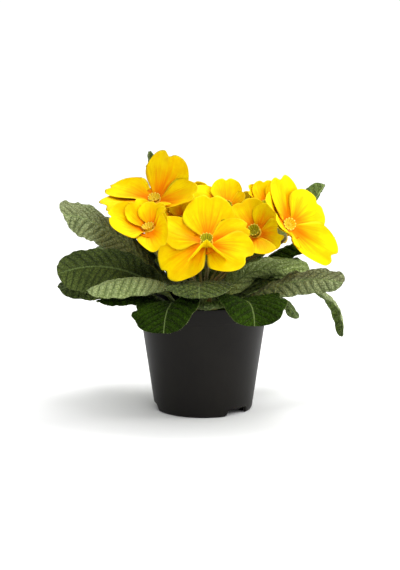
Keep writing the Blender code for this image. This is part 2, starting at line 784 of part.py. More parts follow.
def make_calyx(bloom, where):
    """A five-ribbed cup with five pointed teeth, round the corolla's tube."""
    sides = 10
    floor = -(TUBE_LENGTH + CLEARANCE)
    bottom = floor - 1.5 * MM
    rings = (
        (bottom, STALK_RADIUS * 1.3, 0),
        (floor + 1.5 * MM, CALYX_RADIUS, 0),
        (bottom + CALYX_LENGTH * 0.75, CALYX_RADIUS * 1.12, 0),
        (bottom + CALYX_LENGTH, CALYX_RADIUS * 1.1, 2.4 * MM),
        (bottom + CALYX_LENGTH * 0.97, CALYX_RADIUS * 1.1 - CALYX_WALL, 2.0 * MM),
        (floor, TUBE_BORE + PETAL_THICKNESS + CLEARANCE * 1.4, 0),
    )
    mesh = bpy.data.meshes.new(bloom.name + "_calyx")
    shape = bmesh.new()
    loops = []
    for z, radius, tooth in rings:
        loop = []
        for k in range(sides):
            rib = 1 if k % 2 == 0 else -1
            r = radius * (1 + 0.08 * rib * (radius > STALK_RADIUS * 1.5))
            a = 2 * math.pi * k / sides
            loop.append(shape.verts.new((r * math.cos(a), r * math.sin(a), z + tooth * rib)))
        loops.append(loop)
    for low, high in zip(loops, loops[1:]):
        for k in range(sides):
            n = (k + 1) % sides
            shape.faces.new((low[k], low[n], high[n], high[k]))
    shape.faces.new(loops[0][::-1])
    shape.faces.new(loops[-1])
    bmesh.ops.triangulate(shape, faces=shape.faces)
    bmesh.ops.recalc_face_normals(shape, faces=shape.faces)
    shape.to_mesh(mesh)
    shape.free()
    return placed(add_object(bloom.name + "_calyx", mesh, where), *bloom_axes(bloom))


def make_stalk(bloom, where, finish):
    stem = tube_to_mesh(tube(bloom.name + "_stem", stalk_path(bloom), STALK_RADIUS, where), where)
    return union_of(bloom.name + "_stalk", [make_calyx(bloom, where), stem], where, finish)


def make_eye(bloom, where, finish):
    """The pleated green goblet that stands in the throat, seated in the funnel below it."""
    size = min(1, bloom.radius * MM / EYE_FULL_BLOOM)
    radius, height = EYE_RADIUS * size, EYE_HEIGHT * size
    slope = FUNNEL_DEPTH / (THROAT_RADIUS - FUNNEL_RADIUS)
    foot = (radius * EYE_FOOT_SHARE + EYE_ROOM - THROAT_RADIUS) * slope
    profile = (
        (0, height * 0.8),
        (radius * 0.6, height * 0.78),
        (radius * 0.95, height),
        (radius, height * 0.85),
        (radius * EYE_FOOT_SHARE, foot),
        (0, foot),
    )
    return placed(turned(bloom.name + "_eye", profile, EYE_SIDES, where, finish), *bloom_axes(bloom))


def main():
    clear_scene()
    plant = collection("potted_primrose")
    cutters = collection("cutters", hidden=True)
    plastic = material("pot_plastic", (0.020, 0.019, 0.018), 0.45)
    compost = material("compost", (0.035, 0.022, 0.014), 0.95)
    leaf_green = material("leaf_green", (0.055, 0.115, 0.022), 0.55)
    stalk_green = material("stalk_green", (0.16, 0.14, 0.05), 0.6)
    yellow = material("petal_yellow", (0.95, 0.66, 0.01), 0.6)
    eye_green = material("eye_green", (0.30, 0.33, 0.04), 0.6)
    make_pot(plant, cutters, plastic)
    make_soil(plant, compost)
    make_crown(plant, stalk_green)
    for leaf in LEAVES:
        make_leaf(leaf, plant, leaf_green)
    for bloom in BLOOMS:
        make_corolla(bloom, plant, yellow)
        make_stalk(bloom, plant, stalk_green)
        make_eye(bloom, plant, eye_green)
    for obj in plant.objects:
        if obj.type == "MESH":
            rounded(obj)


if __name__ == "__main__":
    main()
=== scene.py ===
"""The look of the potted primrose: finer leaves, blooms, stalks, pot and soil in the place of the CAD nodes.

The design values of the leaves and blooms, and the surfaces they give, are those of the CAD model. Here they
are drawn on finer grids, with veins, quilting, scalloped margins, creases and hairs. Lengths are in metres
unless a name or a docstring says otherwise.
"""

import math
from dataclasses import dataclass

import bmesh
import bpy
import numpy as np
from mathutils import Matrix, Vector

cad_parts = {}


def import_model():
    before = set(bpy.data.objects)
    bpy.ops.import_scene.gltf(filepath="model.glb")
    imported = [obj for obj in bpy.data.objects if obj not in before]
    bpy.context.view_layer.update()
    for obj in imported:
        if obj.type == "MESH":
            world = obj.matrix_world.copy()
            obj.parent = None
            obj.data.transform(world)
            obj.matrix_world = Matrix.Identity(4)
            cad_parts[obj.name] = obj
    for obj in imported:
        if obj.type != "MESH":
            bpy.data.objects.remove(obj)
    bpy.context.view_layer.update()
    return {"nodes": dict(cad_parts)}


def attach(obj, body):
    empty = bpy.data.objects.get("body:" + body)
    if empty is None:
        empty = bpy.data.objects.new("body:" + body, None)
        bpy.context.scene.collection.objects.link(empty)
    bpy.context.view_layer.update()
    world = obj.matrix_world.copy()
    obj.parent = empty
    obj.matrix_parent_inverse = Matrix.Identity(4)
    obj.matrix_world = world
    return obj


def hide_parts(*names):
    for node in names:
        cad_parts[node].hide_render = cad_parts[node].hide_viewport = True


MM = 0.001

# The CAD model's sizes

POT_HEIGHT = 76 * MM
POT_TOP_RADIUS = 45 * MM
POT_FOOT_RADIUS = 33.4 * MM
POT_WALL = 1.2 * MM
POT_COLLAR_HEIGHT = 10 * MM
POT_COLLAR_STEP = 0.5 * MM
POT_FLOOR_LIFT = 5 * MM
FOOT_NOTCH_HEIGHT = 4.6 * MM
FOOT_NOTCH_WIDTH = 18 * MM
FOOT_NOTCH_ANGLES = (187, 314, 72)
DRAIN_HOLE_RADIUS = 3.5 * MM
DRAIN_HOLE_CIRCLE = 17 * MM
DRAIN_HOLES = 5
CLEARANCE = 0.3 * MM
SOIL_LEVEL = 66 * MM
CROWN_RADIUS = 11 * MM
CROWN_RISE = 9 * MM
CROWN_ROOT = 8 * MM
PETIOLE_SHARE = 0.13
LEAF_END = 0.985
LEAF_WIDEST = 0.64
LEAF_WAVES = 5
LEAF_WAVE_HEIGHT = 1.0 * MM
LEAF_SCALLOP = 0.05
PETAL_THICKNESS = 0.7 * MM
PETAL_LAYER = 0.85 * MM
PETAL_WAVE = 0.6 * MM
PETAL_WIDEST = 0.56
THROAT_RADIUS = 4 * MM
FUNNEL_RADIUS = 2 * MM
FUNNEL_DEPTH = 2.4 * MM
TUBE_BORE = 0.9 * MM
TUBE_LENGTH = 15 * MM
CALYX_LENGTH = 11 * MM
CALYX_RADIUS = 3.2 * MM
CALYX_WALL = 0.9 * MM
STALK_RADIUS = 1.1 * MM
STALK_LIFT = 0.75 * MM
EYE_RADIUS = 4.1 * MM
EYE_HEIGHT = 5 * MM
EYE_FOOT_SHARE = 0.65
EYE_ROOM = 1.1 * MM
EYE_FULL_BLOOM = 24 * MM

# Leaves in fine detail

CELL = 0.73 * MM
YOUNG_CELL = 1.05 * MM
LEAF_TIP = 2.8
BLADE_THICKNESS = 0.45 * MM
VEIN_SPACING = 5.8 * MM
VEIN_SLANT = 0.62
VEIN_BEND = 9
VEIN_SHIFT = 0.45
VEIN_RIDGE = 0.42 * MM
WANDER_SPREAD = 14 * MM
QUILT_HEIGHT = 1.5 * MM
PUCKER_SPACING = 2.9 * MM
PUCKER_HEIGHT = 0.75 * MM
ROUGH_HEIGHT = 0.16 * MM
ROUGH_SPREAD = 2.6 * MM
TOOTH_SPACING = 3.1 * MM
TOOTH_DEPTH = 0.3 * MM
MARGIN_WAVE = 0.5 * MM
MARGIN_TAPER = 1.1 * MM
TIP_TAPER = 1.4 * MM
GROOVE_DEPTH = 0.45 * MM
GROOVE_WIDTH = 0.9 * MM
RIB_DEPTH = 1.5 * MM
RIB_WIDTH = 1.25 * MM

# Blooms in fine detail. CROWDING brings a petal's columns closer together at its margins, JOINED_STEPS are
# outwards and around, and EYE_SHOWN gives the height, as a share, of eyes that stand low in their throats.

PETAL_ROWS = 24
PETAL_COLUMNS = 32
CROWDING = 1.25
JOINED_STEPS = (4, 60)
TUBE_SIDES = 40
FRILL_SIDES = 80
STALK_SIDES = 12
STALK_POINTS = 48
CALYX_SIDES = 60
EYE_SIDES = 96
PETAL_SKIN = 0.35 * MM
PETAL_RUFFLE = 0.45 * MM
PETAL_SIDE_RUFFLE = 0.2 * MM
PETAL_CREASE = 0.35 * MM
PETAL_RAY = 0.09 * MM
PETAL_PILLOW = 0.35 * MM
PILLOW_SPREAD = 9 * MM
JOINED_SHARE = 0.24
CALYX_TOOTH = 5.2 * MM
CALYX_DIP = 2.4 * MM
EYE_RIBS = 12
EYE_RIM = 0.46
EYE_SHOWN = {"bloom_right": 0.45, "bloom_left_top": 0.5, "bloom_left_low": 0.55}

# Pot, soil and hairs in fine detail. A hair's three corners are angles in radians.

POT_SIDES = 180
SOIL_SIDES = 140
CROWN_SIDES = 80
POT_CELL = 2.6 * MM
POT_ROUNDING = 0.35 * MM
POT_FLOOR_REACH = 28 * MM
AXIS_GAP = 0.1 * MM
CRUMBS = 520
PERLITE_EVERY = 9
STALK_HAIRS = 260
MARGIN_HAIRS = 230
MIDRIB_HAIRS = 150
HAIR_CORNERS = (0, 2.094, 4.189)
HAIR_RADIUS = 0.045 * MM
MARGIN_HAIR_RADIUS = 0.04 * MM

# Random draws: their seeds, and the range of their phases, which starts at 0

LEAF_SEED = 40
YOUNG_SEED = 140
PETAL_SEED = 300
CRUMB_SEED = 11
HAIR_SEED = 23
SOIL_SEED = 5
CROWN_SEED = 9
PHASES = 6.28

# The photograph's camera: where it stands, what it looks at, and its lens on a 36 mm sensor

CAMERA_PLACE = (-0.0023, -1.2, 0.300)
CAMERA_AIM = (-0.0023, 0, 0.085)
CAMERA_LENS = 112.86
CAMERA_SENSOR = 36

# The studio's soft light at the horizon and straight above, and how much it grows to the right. Then the
# softboxes: where they stand, how high above the floor's middle they aim, their size and their watts

SKY_LOW = 0.3
SKY_HIGH = 1.6
SKY_RIGHTWARD = 0.6
SOFTBOXES = {
    "softbox_above": ((0.25, 0.25, 1.2), 0.1, 0.5, 5),
    "softbox_right": ((1.1, -0.1, 0.45), 0.08, 0.5, 4.5),
    "softbox_front": ((0.3, -1.2, 0.9), 0.1, 0.6, 3.5),
}
FLOOR_REACH = 60
FLOOR_DROP = 0.2 * MM
FLOOR_COLOUR = (0.94, 0.94, 0.94)


@dataclass
class Leaf:
    """One leaf. Angles are in degrees, lengths in millimetres.

    azimuth is 0 towards +X and 90 towards +Y, ring the height angle of its seat on the crown. The midrib
    leaves at the pitch rise and ends at the pitch droop, later for a larger late, and turns sideways by
    turn. roll lowers the half on the left, seen from the crown. fold lifts (+) or drops (-) each half from
    the midrib, and curl adds to that at the margin. Both are given as (left, right).
    """

    name: str
    azimuth: float
    ring: float
    length: float
    width: float
    rise: float
    droop: float
    late: float = 1.5
    turn: float = 0
    roll: float = 0
    fold: tuple = (10, 10)
    curl: tuple = (-25, -25)


@dataclass
class Petal:
    """One petal: its angle round the bloom, its tilt forward of the bloom's plane and its bend to the tip.

    fold lifts its margins forward, in degrees. length and width are shares of the bloom's own.
    """

    angle: float
    tilt: float = 10
    bend: float = 0
    fold: float = 0
    length: float = 1
    width: float = 1


@dataclass
class Bloom:
    """One bloom: its throat's middle in millimetres, and where it faces, as azimuth and height angle.

    seat is where its stalk leaves the crown, as an azimuth and a distance from the middle, and bow pushes
    the stalk's upper bend aside. The petals are in the order of their angles, and those in extra stand in
    front of them.
    """

    name: str
    centre: tuple
    azimuth: float
    height: float
    radius: float
    seat: tuple
    petals: tuple
    extra: tuple = ()
    bow: tuple = (0, 0, 0)


def even_petals(spin, tilt, bend=0):
    """Five petals evenly spaced round a bloom, from the angle spin."""
    return tuple(Petal(spin + k * 72, tilt, bend) for k in range(5))


LEAVES = (
    Leaf("left_high", 176, 40, 112, 42, 44, 0, 4, turn=40, roll=45, fold=(-15, -5), curl=(45, -30)),
    Leaf("left_middle", 196, 20, 101, 37, 49, -20, 1.3, turn=5, roll=60, fold=(-10, 55), curl=(0, 30)),
    Leaf("left_low", 184, 10, 93, 25, 35, -15, 1.3, turn=25, roll=20, fold=(-25, -10), curl=(-35, -5)),
    Leaf("left_front", 222, 35, 90, 31, 56, -25, 0.9, turn=-25, roll=-15, fold=(-40, 5), curl=(-35, -10)),
    Leaf("left_under", 213, 10, 76, 21, 33, -15, 1.4, turn=5, fold=(-25, -15), curl=(-15, 0)),
    Leaf("front_left", 244, 10, 75, 48, 34, -70, 2, turn=20, roll=-35, fold=(-5, 30), curl=(-25, -10)),
    Leaf("front", 266, 25, 74, 44, 64, -35, 1.2, turn=5, roll=-10, fold=(-5, 15), curl=(-20, -25)),
    Leaf("front_right", 307, 10, 74, 47, 29, -70, 2.7, turn=-35, fold=(10, 20), curl=(-10, -10)),
    Leaf("front_small", 276, 15, 55, 19, 33, -15, 1.6, turn=5, roll=-10, fold=(-10, -5), curl=(-25, -30)),
    Leaf("right_front", 345, 35, 70, 46, 75, -35, 1, turn=25, roll=-80, fold=(50, -65), curl=(40, -25)),
    Leaf("right", 332, 10, 97, 26, 31, -15, 2.4, turn=5, roll=-60, fold=(-20, 20), curl=(-35, -5)),
    Leaf("right_low", 355, 10, 62, 19, 39, -65, 1.5, turn=-15, roll=-10, fold=(-15, -15), curl=(5, 30)),
    Leaf("right_back", 15, 10, 121, 19, 30, -105, 1.9, turn=15, roll=-15, fold=(-30, -10), curl=(-15, -5)),
    Leaf("right_high", 14, 30, 97, 23, 51, -5, 1.7, turn=-20, roll=-5, fold=(-20, -20), curl=(-5, -35)),
    Leaf("right_upright", 17, 50, 111, 34, 37, 55, 1.3, turn=-30, roll=-5, fold=(-5, 40), curl=(-25, 5)),
    Leaf("back_upright", 144, 50, 108, 24, 60, 80, 0.8, turn=30, roll=-15, fold=(20, -5), curl=(-25, 0)),
    Leaf("back_right", 45, 15, 90, 38, 34, -35, fold=(5, 5)),
    Leaf("back", 84, 15, 70, 40, 36, -30, fold=(5, 5)),
    Leaf("back_left", 128, 15, 86, 38, 34, -40, fold=(5, 5)),
    Leaf("back_high_right", 60, 30, 78, 36, 50, -15, curl=(-20, -20)),
    Leaf("back_high_left", 151, 30, 96, 36, 45, -20, curl=(-20, -20)),
    Leaf("back_high", 110, 30, 74, 36, 50, -15, curl=(-20, -20)),
)

# Young leaves in the heart of the rosette: the stalks hide most of them, and they close gaps between leaves

YOUNG_LEAVES = (
    Leaf("young_1", 38, 62, 44, 15, 66, 40, 1.4, roll=10, fold=(35, 35), curl=(-30, -30)),
    Leaf("young_2", 78, 60, 46, 16, 72, 52, 1.2, fold=(35, 30), curl=(-35, -25)),
    Leaf("young_3", 132, 60, 45, 16, 68, 45, 1.3, roll=-10, fold=(30, 35), curl=(-25, -35)),
    Leaf("young_4", 176, 52, 40, 14, 60, 30, turn=15, fold=(35, 35), curl=(-30, -30)),
    Leaf("young_5", 5, 45, 46, 17, 50, 22, turn=-10, fold=(30, 30), curl=(-30, -30)),
    Leaf("young_6", 350, 20, 52, 20, 34, 6, 1.6, turn=8, fold=(15, 20)),
    Leaf("young_7", 158, 45, 68, 26, 58, 28, 1.4, turn=10, fold=(20, 15), curl=(-20, -25)),
    Leaf("young_8", 150, 48, 60, 30, 54, 32, 1.3, fold=(15, 15), curl=(-20, -20)),
    Leaf("young_9", 12, 25, 66, 30, 33, 4, 1.6, turn=-5, roll=-35, curl=(-20, -25)),
)

BLOOMS = (
    Bloom(
        "bloom_front", (2, -44, 121), 269, 51, 30, (285, 4.6),
        (
            Petal(16, 20, -10, 0, 1, 0.7),
            Petal(86, 10, 20, 0, 1.2, 1.05),
            Petal(157, 0, 20, 0, 1.2, 0.7),
            Petal(213, -10, -20, 0, 1.2, 1.1),
            Petal(324, 20, -15, 0, 1.2, 1),
        ),
        extra=(Petal(272, 60, 6, -42, 0.74, 1.05),),
    ),
    Bloom(
        "bloom_left_top", (-33, -2, 144), 257, 56, 33, (195, 4.6),
        (
            Petal(60, 40, 30, 0, 1.1, 1.05),
            Petal(163, 0, 0, 0, 1.15, 0.7),
            Petal(216, 30, -20, 0, 1.2, 1.1),
            Petal(269, 25, 25, 0, 0.8, 0.85),
            Petal(343, 15, 20, 0, 1.2, 0.7),
        ),
        bow=(0, -10, 0),
    ),
    Bloom(
        "bloom_left_low", (-36, -37, 129), 229, 65, 26, (210, 1.6),
        (
            Petal(24, 45, 10, 0, 0.75, 0.75),
            Petal(94, 40, 10, 0, 0.75, 0.75),
            Petal(156, 60, 15, 0, 0.9, 0.8),
            Petal(229, 45, 0, 0, 1.2, 1.1),
            Petal(328, -15, 0, 0, 0.9, 0.8),
        ),
    ),
    Bloom("bloom_middle", (-15, -9, 129), 255, 55, 18, (150, 4.6), even_petals(90, 55, 10)),
    Bloom(
        "bloom_back", (16, 18, 135), 264, 43, 23, (90, 1.6),
        (
            Petal(2, 30, 35, 0, 0.7, 0.9),
            Petal(94, 5, 10, 0, 1.05, 0.85),
            Petal(163, 30, 0, 0, 1.2, 0.9),
            Petal(220, 10, 5, 0, 0.95, 1),
            Petal(304, 15, 0, 0, 0.95, 1),
        ),
    ),
    Bloom(
        "bloom_right_middle", (35, -6, 122), 251, 32, 24, (330, 1.6),
        (
            Petal(58, 30, -10, 0, 0.9, 0.75),
            Petal(122, 20, -15, 0, 1.05, 1.1),
            Petal(202, 35, -5, 0, 0.9, 0.9),
            Petal(275, 40, 0, 0, 1.1, 1.2),
            Petal(344, 5, -15, 0, 0.85, 0.9),
        ),
    ),
    Bloom(
        "bloom_right", (56, -38, 132), 288, 23, 32, (330, 4.6),
        (
            Petal(32, 0, -15, 0, 0.9, 0.9),
            Petal(101, 15, 10, 0, 1.05, 0.75),
            Petal(176, 65, -10, 0, 1.1, 1.1),
            Petal(228, 60, 5, 0, 0.85, 0.8),
            Petal(318, 0, 10, 0, 1.2, 0.85),
        ),
        bow=(26, 1, -4),
    ),
    Bloom("bloom_right_back", (43, 22, 135), 285, 60, 21, (15, 4.6), even_petals(90, 48, 10)),
    Bloom("bloom_far_left", (-10, 39, 130), 105, 46, 26, (105, 4.6), even_petals(90, 22)),
    Bloom("bloom_far_right", (40, 48, 120), 50, 35, 26, (60, 4.6), even_petals(54, 22)),
)


# Directions, curves and grids of points


def stacked(*coordinates):
    """Points from coordinates that share a grid."""
    return np.stack(np.broadcast_arrays(*coordinates), axis=-1)


def polar(radius, angle, *height):
    """Points at a radius and an angle round Z, in the plane or at a height."""
    return stacked(radius * np.cos(angle), radius * np.sin(angle), *height)


def direction(azimuth, pitch):
    """Unit vectors at azimuths and pitches in degrees, with any shape of arrays."""
    pitch = np.radians(pitch)
    return polar(np.cos(pitch), np.radians(azimuth), np.sin(pitch))


def unit(vectors):
    """Vectors brought to length one."""
    return vectors / np.linalg.norm(vectors, axis=-1, keepdims=True)


def smooth(x):
    """Rises smoothly from 0 to 1 as x goes from 0 to 1."""
    x = np.clip(x, 0, 1)
    return x * x * (3 - 2 * x)


def bell(x, width):
    """1 where x is 0, and falling off on both sides within about width."""
    return np.exp(-((x / width) ** 2))


def running_sum(steps):
    """Sums along the first axis, starting from zero."""
    return np.concatenate([np.zeros_like(steps[:1]), np.cumsum(steps, axis=0)])


def arc(length, start, turn, share):
    """Run and rise, at a share of its length, of a strip whose angle goes from start by turn degrees."""
    a = np.radians(start)
    t = np.radians(np.where(np.abs(turn) > 0.01, turn, 0.01))
    run = length / t * (np.sin(a + t * share) - np.sin(a))
    rise = length / t * (np.cos(a) - np.cos(a + t * share))
    return run, rise


def tremble(points, scale, seed):
    """Smooth noise between about -1 and 1 at points, its bumps about scale across."""
    chance = np.random.default_rng(seed)
    total = np.zeros(points.shape[:-1])
    for _ in range(9):
        way = unit(chance.normal(size=points.shape[-1]))
        pace = chance.uniform(0.7, 1.4) * np.pi / scale
        total += np.sin(points @ way * pace + chance.uniform(0, PHASES))
    return total / 4


def normals_of(grid):
    """Unit normals of a grid of points, pointing away from the side on which its rows run clockwise."""
    normals = np.cross(np.gradient(grid, axis=1), np.gradient(grid, axis=0))
    return normals / np.maximum(np.linalg.norm(normals, axis=2, keepdims=True), 1e-12)


def normals_towards(grid, way, column=slice(None)):
    """Unit normals of a grid of points, on the side that way points to in a column or in all of them."""
    normals = normals_of(grid)
    return -normals if np.sum(normals[:, column] * way) < 0 else normals


def turned_to(grid, way):
    """A grid of points, with its columns in the order that turns its normals to the side of way."""
    return grid[:, ::-1] if np.sum(normals_of(grid) * way) < 0 else grid


def add_object(name, data):
    """Puts an object with a mesh, lamp or camera in the scene."""
    obj = bpy.data.objects.new(name, data)
    bpy.context.scene.collection.objects.link(obj)
    return obj


class Builder:
    """Gathers grids of quads, with two UV maps, into one mesh object."""

    def __init__(self):
        self.points, self.quads, self.slots = [], [], []
        self.maps = {"surface": [], "pattern": []}
        self.count = 0

    def add_points(self, points):
        """Adds a grid of points, and gives the grid of their numbers."""
        first = self.count
        flat = np.asarray(points, float).reshape(-1, 3)
        self.points.append(flat)
        self.count += len(flat)
        return first + np.arange(len(flat)).reshape(np.shape(points)[:-1])

    def add_round(self, grid):
        """Adds a grid whose last column lies on its first, with the same points for both."""
        index = self.add_points(grid[:, :-1])
        return np.concatenate([index, index[:, :1]], axis=1)

    def add_quads(self, index, surface, pattern, slot=0, flip=False):
        """Quads over a grid of point numbers. surface and pattern give UVs there, or one for each half."""
        rows, columns = index.shape[0] - 1, index.shape[1] - 1
        i, j = np.meshgrid(np.arange(rows), np.arange(columns), indexing="ij")
        i, j = i.ravel(), j.ravel()
        ci = np.stack([i, i, i + 1, i + 1], axis=1)
        cj = np.stack([j, j + 1, j + 1, j], axis=1)
        if flip:
            ci, cj = ci[:, ::-1], cj[:, ::-1]
        self.quads.append(index[ci, cj])
        self.slots.append(np.full(len(i), slot))
        for name, value in (("surface", surface), ("pattern", pattern)):
            if isinstance(value, tuple):
                first_half = (j < columns / 2)[:, None, None]
                corner = np.where(first_half, value[0][ci, cj], value[1][ci, cj])
            else:
                corner = value[ci, cj]
            self.maps[name].append(corner.reshape(-1, 2))

    def leaf_skin(self, front, back, surface, pattern, front_slot=0, back_slot=1):
        """A thin closed skin: the two grids share their outermost points."""
        top = self.add_points(front)
        under = self.add_points(back)
        under[0], under[-1], under[:, 0], under[:, -1] = top[0], top[-1], top[:, 0], top[:, -1]
        self.add_quads(top, surface, pattern, front_slot)
        self.add_quads(under, surface, pattern, back_slot, flip=True)

    def turned(self, profile, sides, axes=None, shape=None, slot=0):
        """Turns a profile of (radius, height) round Z, or round the way in which a bloom's axes face.

        shape changes the rings' radius and height by angle.
        """
        angle = np.linspace(0, 2 * np.pi, sides + 1)[None, :]
        radius, height = (column[:, None] + 0 * angle for column in np.array(profile, float).T)
        if shape:
            radius, height = shape(radius, height, angle)
        grid = polar(radius, angle, height)
        if axes:
            middle, right, up, facing = axes
            grid = middle + grid[..., :1] * right + grid[..., 1:2] * up + grid[..., 2:] * facing
        run = running_sum(np.linalg.norm(np.diff(grid[:, 0], axis=0), axis=1))[:, None]
        self.add_quads(self.add_round(grid), stacked(angle, run), stacked(angle, run / run[-1, 0]), slot)

    def tube(self, path, radii, sides):
        """A round tube along a path, with its own radius at each point."""
        ahead = unit(np.gradient(path, axis=0))
        side = unit(np.cross(ahead, [0.31, 0.87, 0.38]))
        other = np.cross(ahead, side)
        turn = np.linspace(0, 2 * np.pi, sides + 1)
        angle = turn[None, :, None]
        ring = np.cos(angle) * side[:, None] + np.sin(angle) * other[:, None]
        run = running_sum(np.linalg.norm(np.diff(path, axis=0), axis=1))[:, None]
        index = self.add_round(path[:, None] + radii[:, None, None] * ring)
        self.add_quads(index, stacked(turn, run), stacked(turn, run / run[-1]))

    def spikes(self, roots, ways, lengths, radii):
        """Three-sided hairs, each from a root point and along its own direction."""
        side = unit(np.cross(ways, [0.42, 0.17, 0.89]))
        other = np.cross(ways, side)
        around = [math.cos(turn) * side + math.sin(turn) * other for turn in HAIR_CORNERS]
        base = self.add_points(np.stack([roots + radii[:, None] * way for way in around], axis=1))
        tip = self.add_points(roots + ways * lengths[:, None])
        for k in range(3):
            self.quads.append(np.stack([base[:, k], base[:, (k + 1) % 3], tip, tip], axis=1))
            self.slots.append(np.zeros(len(tip), int))
            for uvs in self.maps.values():
                uvs.append(np.zeros((4 * len(tip), 2)))

    def build(self, name, finishes, replaces=()):
        """Makes the object, on the body root. A quad whose last two corners are one point is a triangle."""
        quads = np.concatenate(self.quads)
        mesh = bpy.data.meshes.new(name)
        narrow = quads[:, 2] == quads[:, 3]
        order = np.concatenate([np.flatnonzero(~narrow), np.flatnonzero(narrow)])
        faces = quads[~narrow].tolist() + quads[narrow][:, :3].tolist()
        mesh.from_pydata(np.concatenate(self.points).tolist(), [], faces)
        whole = len(order) - int(narrow.sum())
        for label, parts in self.maps.items():
            corners = np.concatenate(parts).reshape(-1, 4, 2)[order]
            flat = np.concatenate([corners[:whole].reshape(-1, 2), corners[whole:, :3].reshape(-1, 2)])
            mesh.uv_layers.new(name=label).data.foreach_set("uv", flat.ravel())
        for finish in finishes:
            mesh.materials.append(finish)
        mesh.polygons.foreach_set("material_index", np.concatenate(self.slots)[order])
        mesh.shade_smooth()
        mesh.update()
        obj = add_object(name, mesh)
        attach(obj, "root")
        if replaces:
            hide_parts(*replaces)
        return obj


# Leaves


def leaf_outline(s):
    """Half-width of a leaf, as a share of its largest, at the share s of its length: petiole, then spoon."""
    blade = PETIOLE_SHARE + (1 - PETIOLE_SHARE) * smooth((s - 0.10) / (LEAF_WIDEST - 0.10))
    end = np.clip((s - LEAF_WIDEST) / (1 - LEAF_WIDEST), 0, 1)
    return np.where(s < LEAF_WIDEST, blade, (1 - end**LEAF_TIP) ** (1 / LEAF_TIP))


def crown_seat(azimuth, ring):
    """A point just off the crown's dome at that azimuth and height angle, and the pitch of its normal."""
    out, up = CROWN_RADIUS * math.cos(math.radians(ring)), CROWN_RISE * math.sin(math.radians(ring))
    pitch = math.degrees(math.atan2(up / CROWN_RISE**2, out / CROWN_RADIUS**2))
    foot = direction(azimuth, 0) * out + np.array([0, 0, SOIL_LEVEL + up])
    return foot + direction(azimuth, pitch) * CLEARANCE, pitch


def leaf_spine(leaf, s):
    """The leaf's midrib at the shares s of its length, with its left and up directions there."""
    seat, seat_pitch = crown_seat(leaf.azimuth, leaf.ring)
    fine = 12
    steps = np.diff(s)
    t = (s[:-1, None] + steps[:, None] * (np.arange(fine) + 0.5) / fine).ravel()
    pitch = leaf.rise + (leaf.droop - leaf.rise) * t**leaf.late
    pitch = seat_pitch + (pitch - seat_pitch) * smooth(t / 0.15)
    bearing = leaf.azimuth + leaf.turn * t**1.5
    pieces = direction(bearing, pitch) * np.repeat(steps / fine, fine)[:, None] * leaf.length * MM
    midrib = seat + running_sum(pieces)[::fine]
    ahead = unit(np.gradient(midrib, s, axis=0))
    left = direction(leaf.azimuth + leaf.turn * s**1.5 + 90, 0 * s)
    left = unit(left - ahead * np.sum(left * ahead, axis=1, keepdims=True))
    up = np.cross(ahead, left)
    roll = np.radians(leaf.roll * smooth(s / 0.45))[:, None]
    return midrib, left * np.cos(roll) - up * np.sin(roll), left * np.sin(roll) + up * np.cos(roll)


def leaf_teeth(length, s, opened, chance):
    """How far the margins' small teeth reach out along the two halves. They calm down near the tip."""
    calm = 1 - smooth((s - 0.86) / 0.12)
    teeth = []
    for half in (0, 1):
        pace = s * length / TOOTH_SPACING + 0.35 * np.sin(s * 23 + chance.uniform(0, 6)) + 0.37 * half
        depth = TOOTH_DEPTH * (0.75 + 0.5 * np.sin(s * 31 + chance.uniform(0, 6)))
        teeth.append(depth * (np.abs(np.sin(np.pi * pace)) ** 0.55 - 0.8) * opened * calm)
    return np.stack(teeth, axis=1)


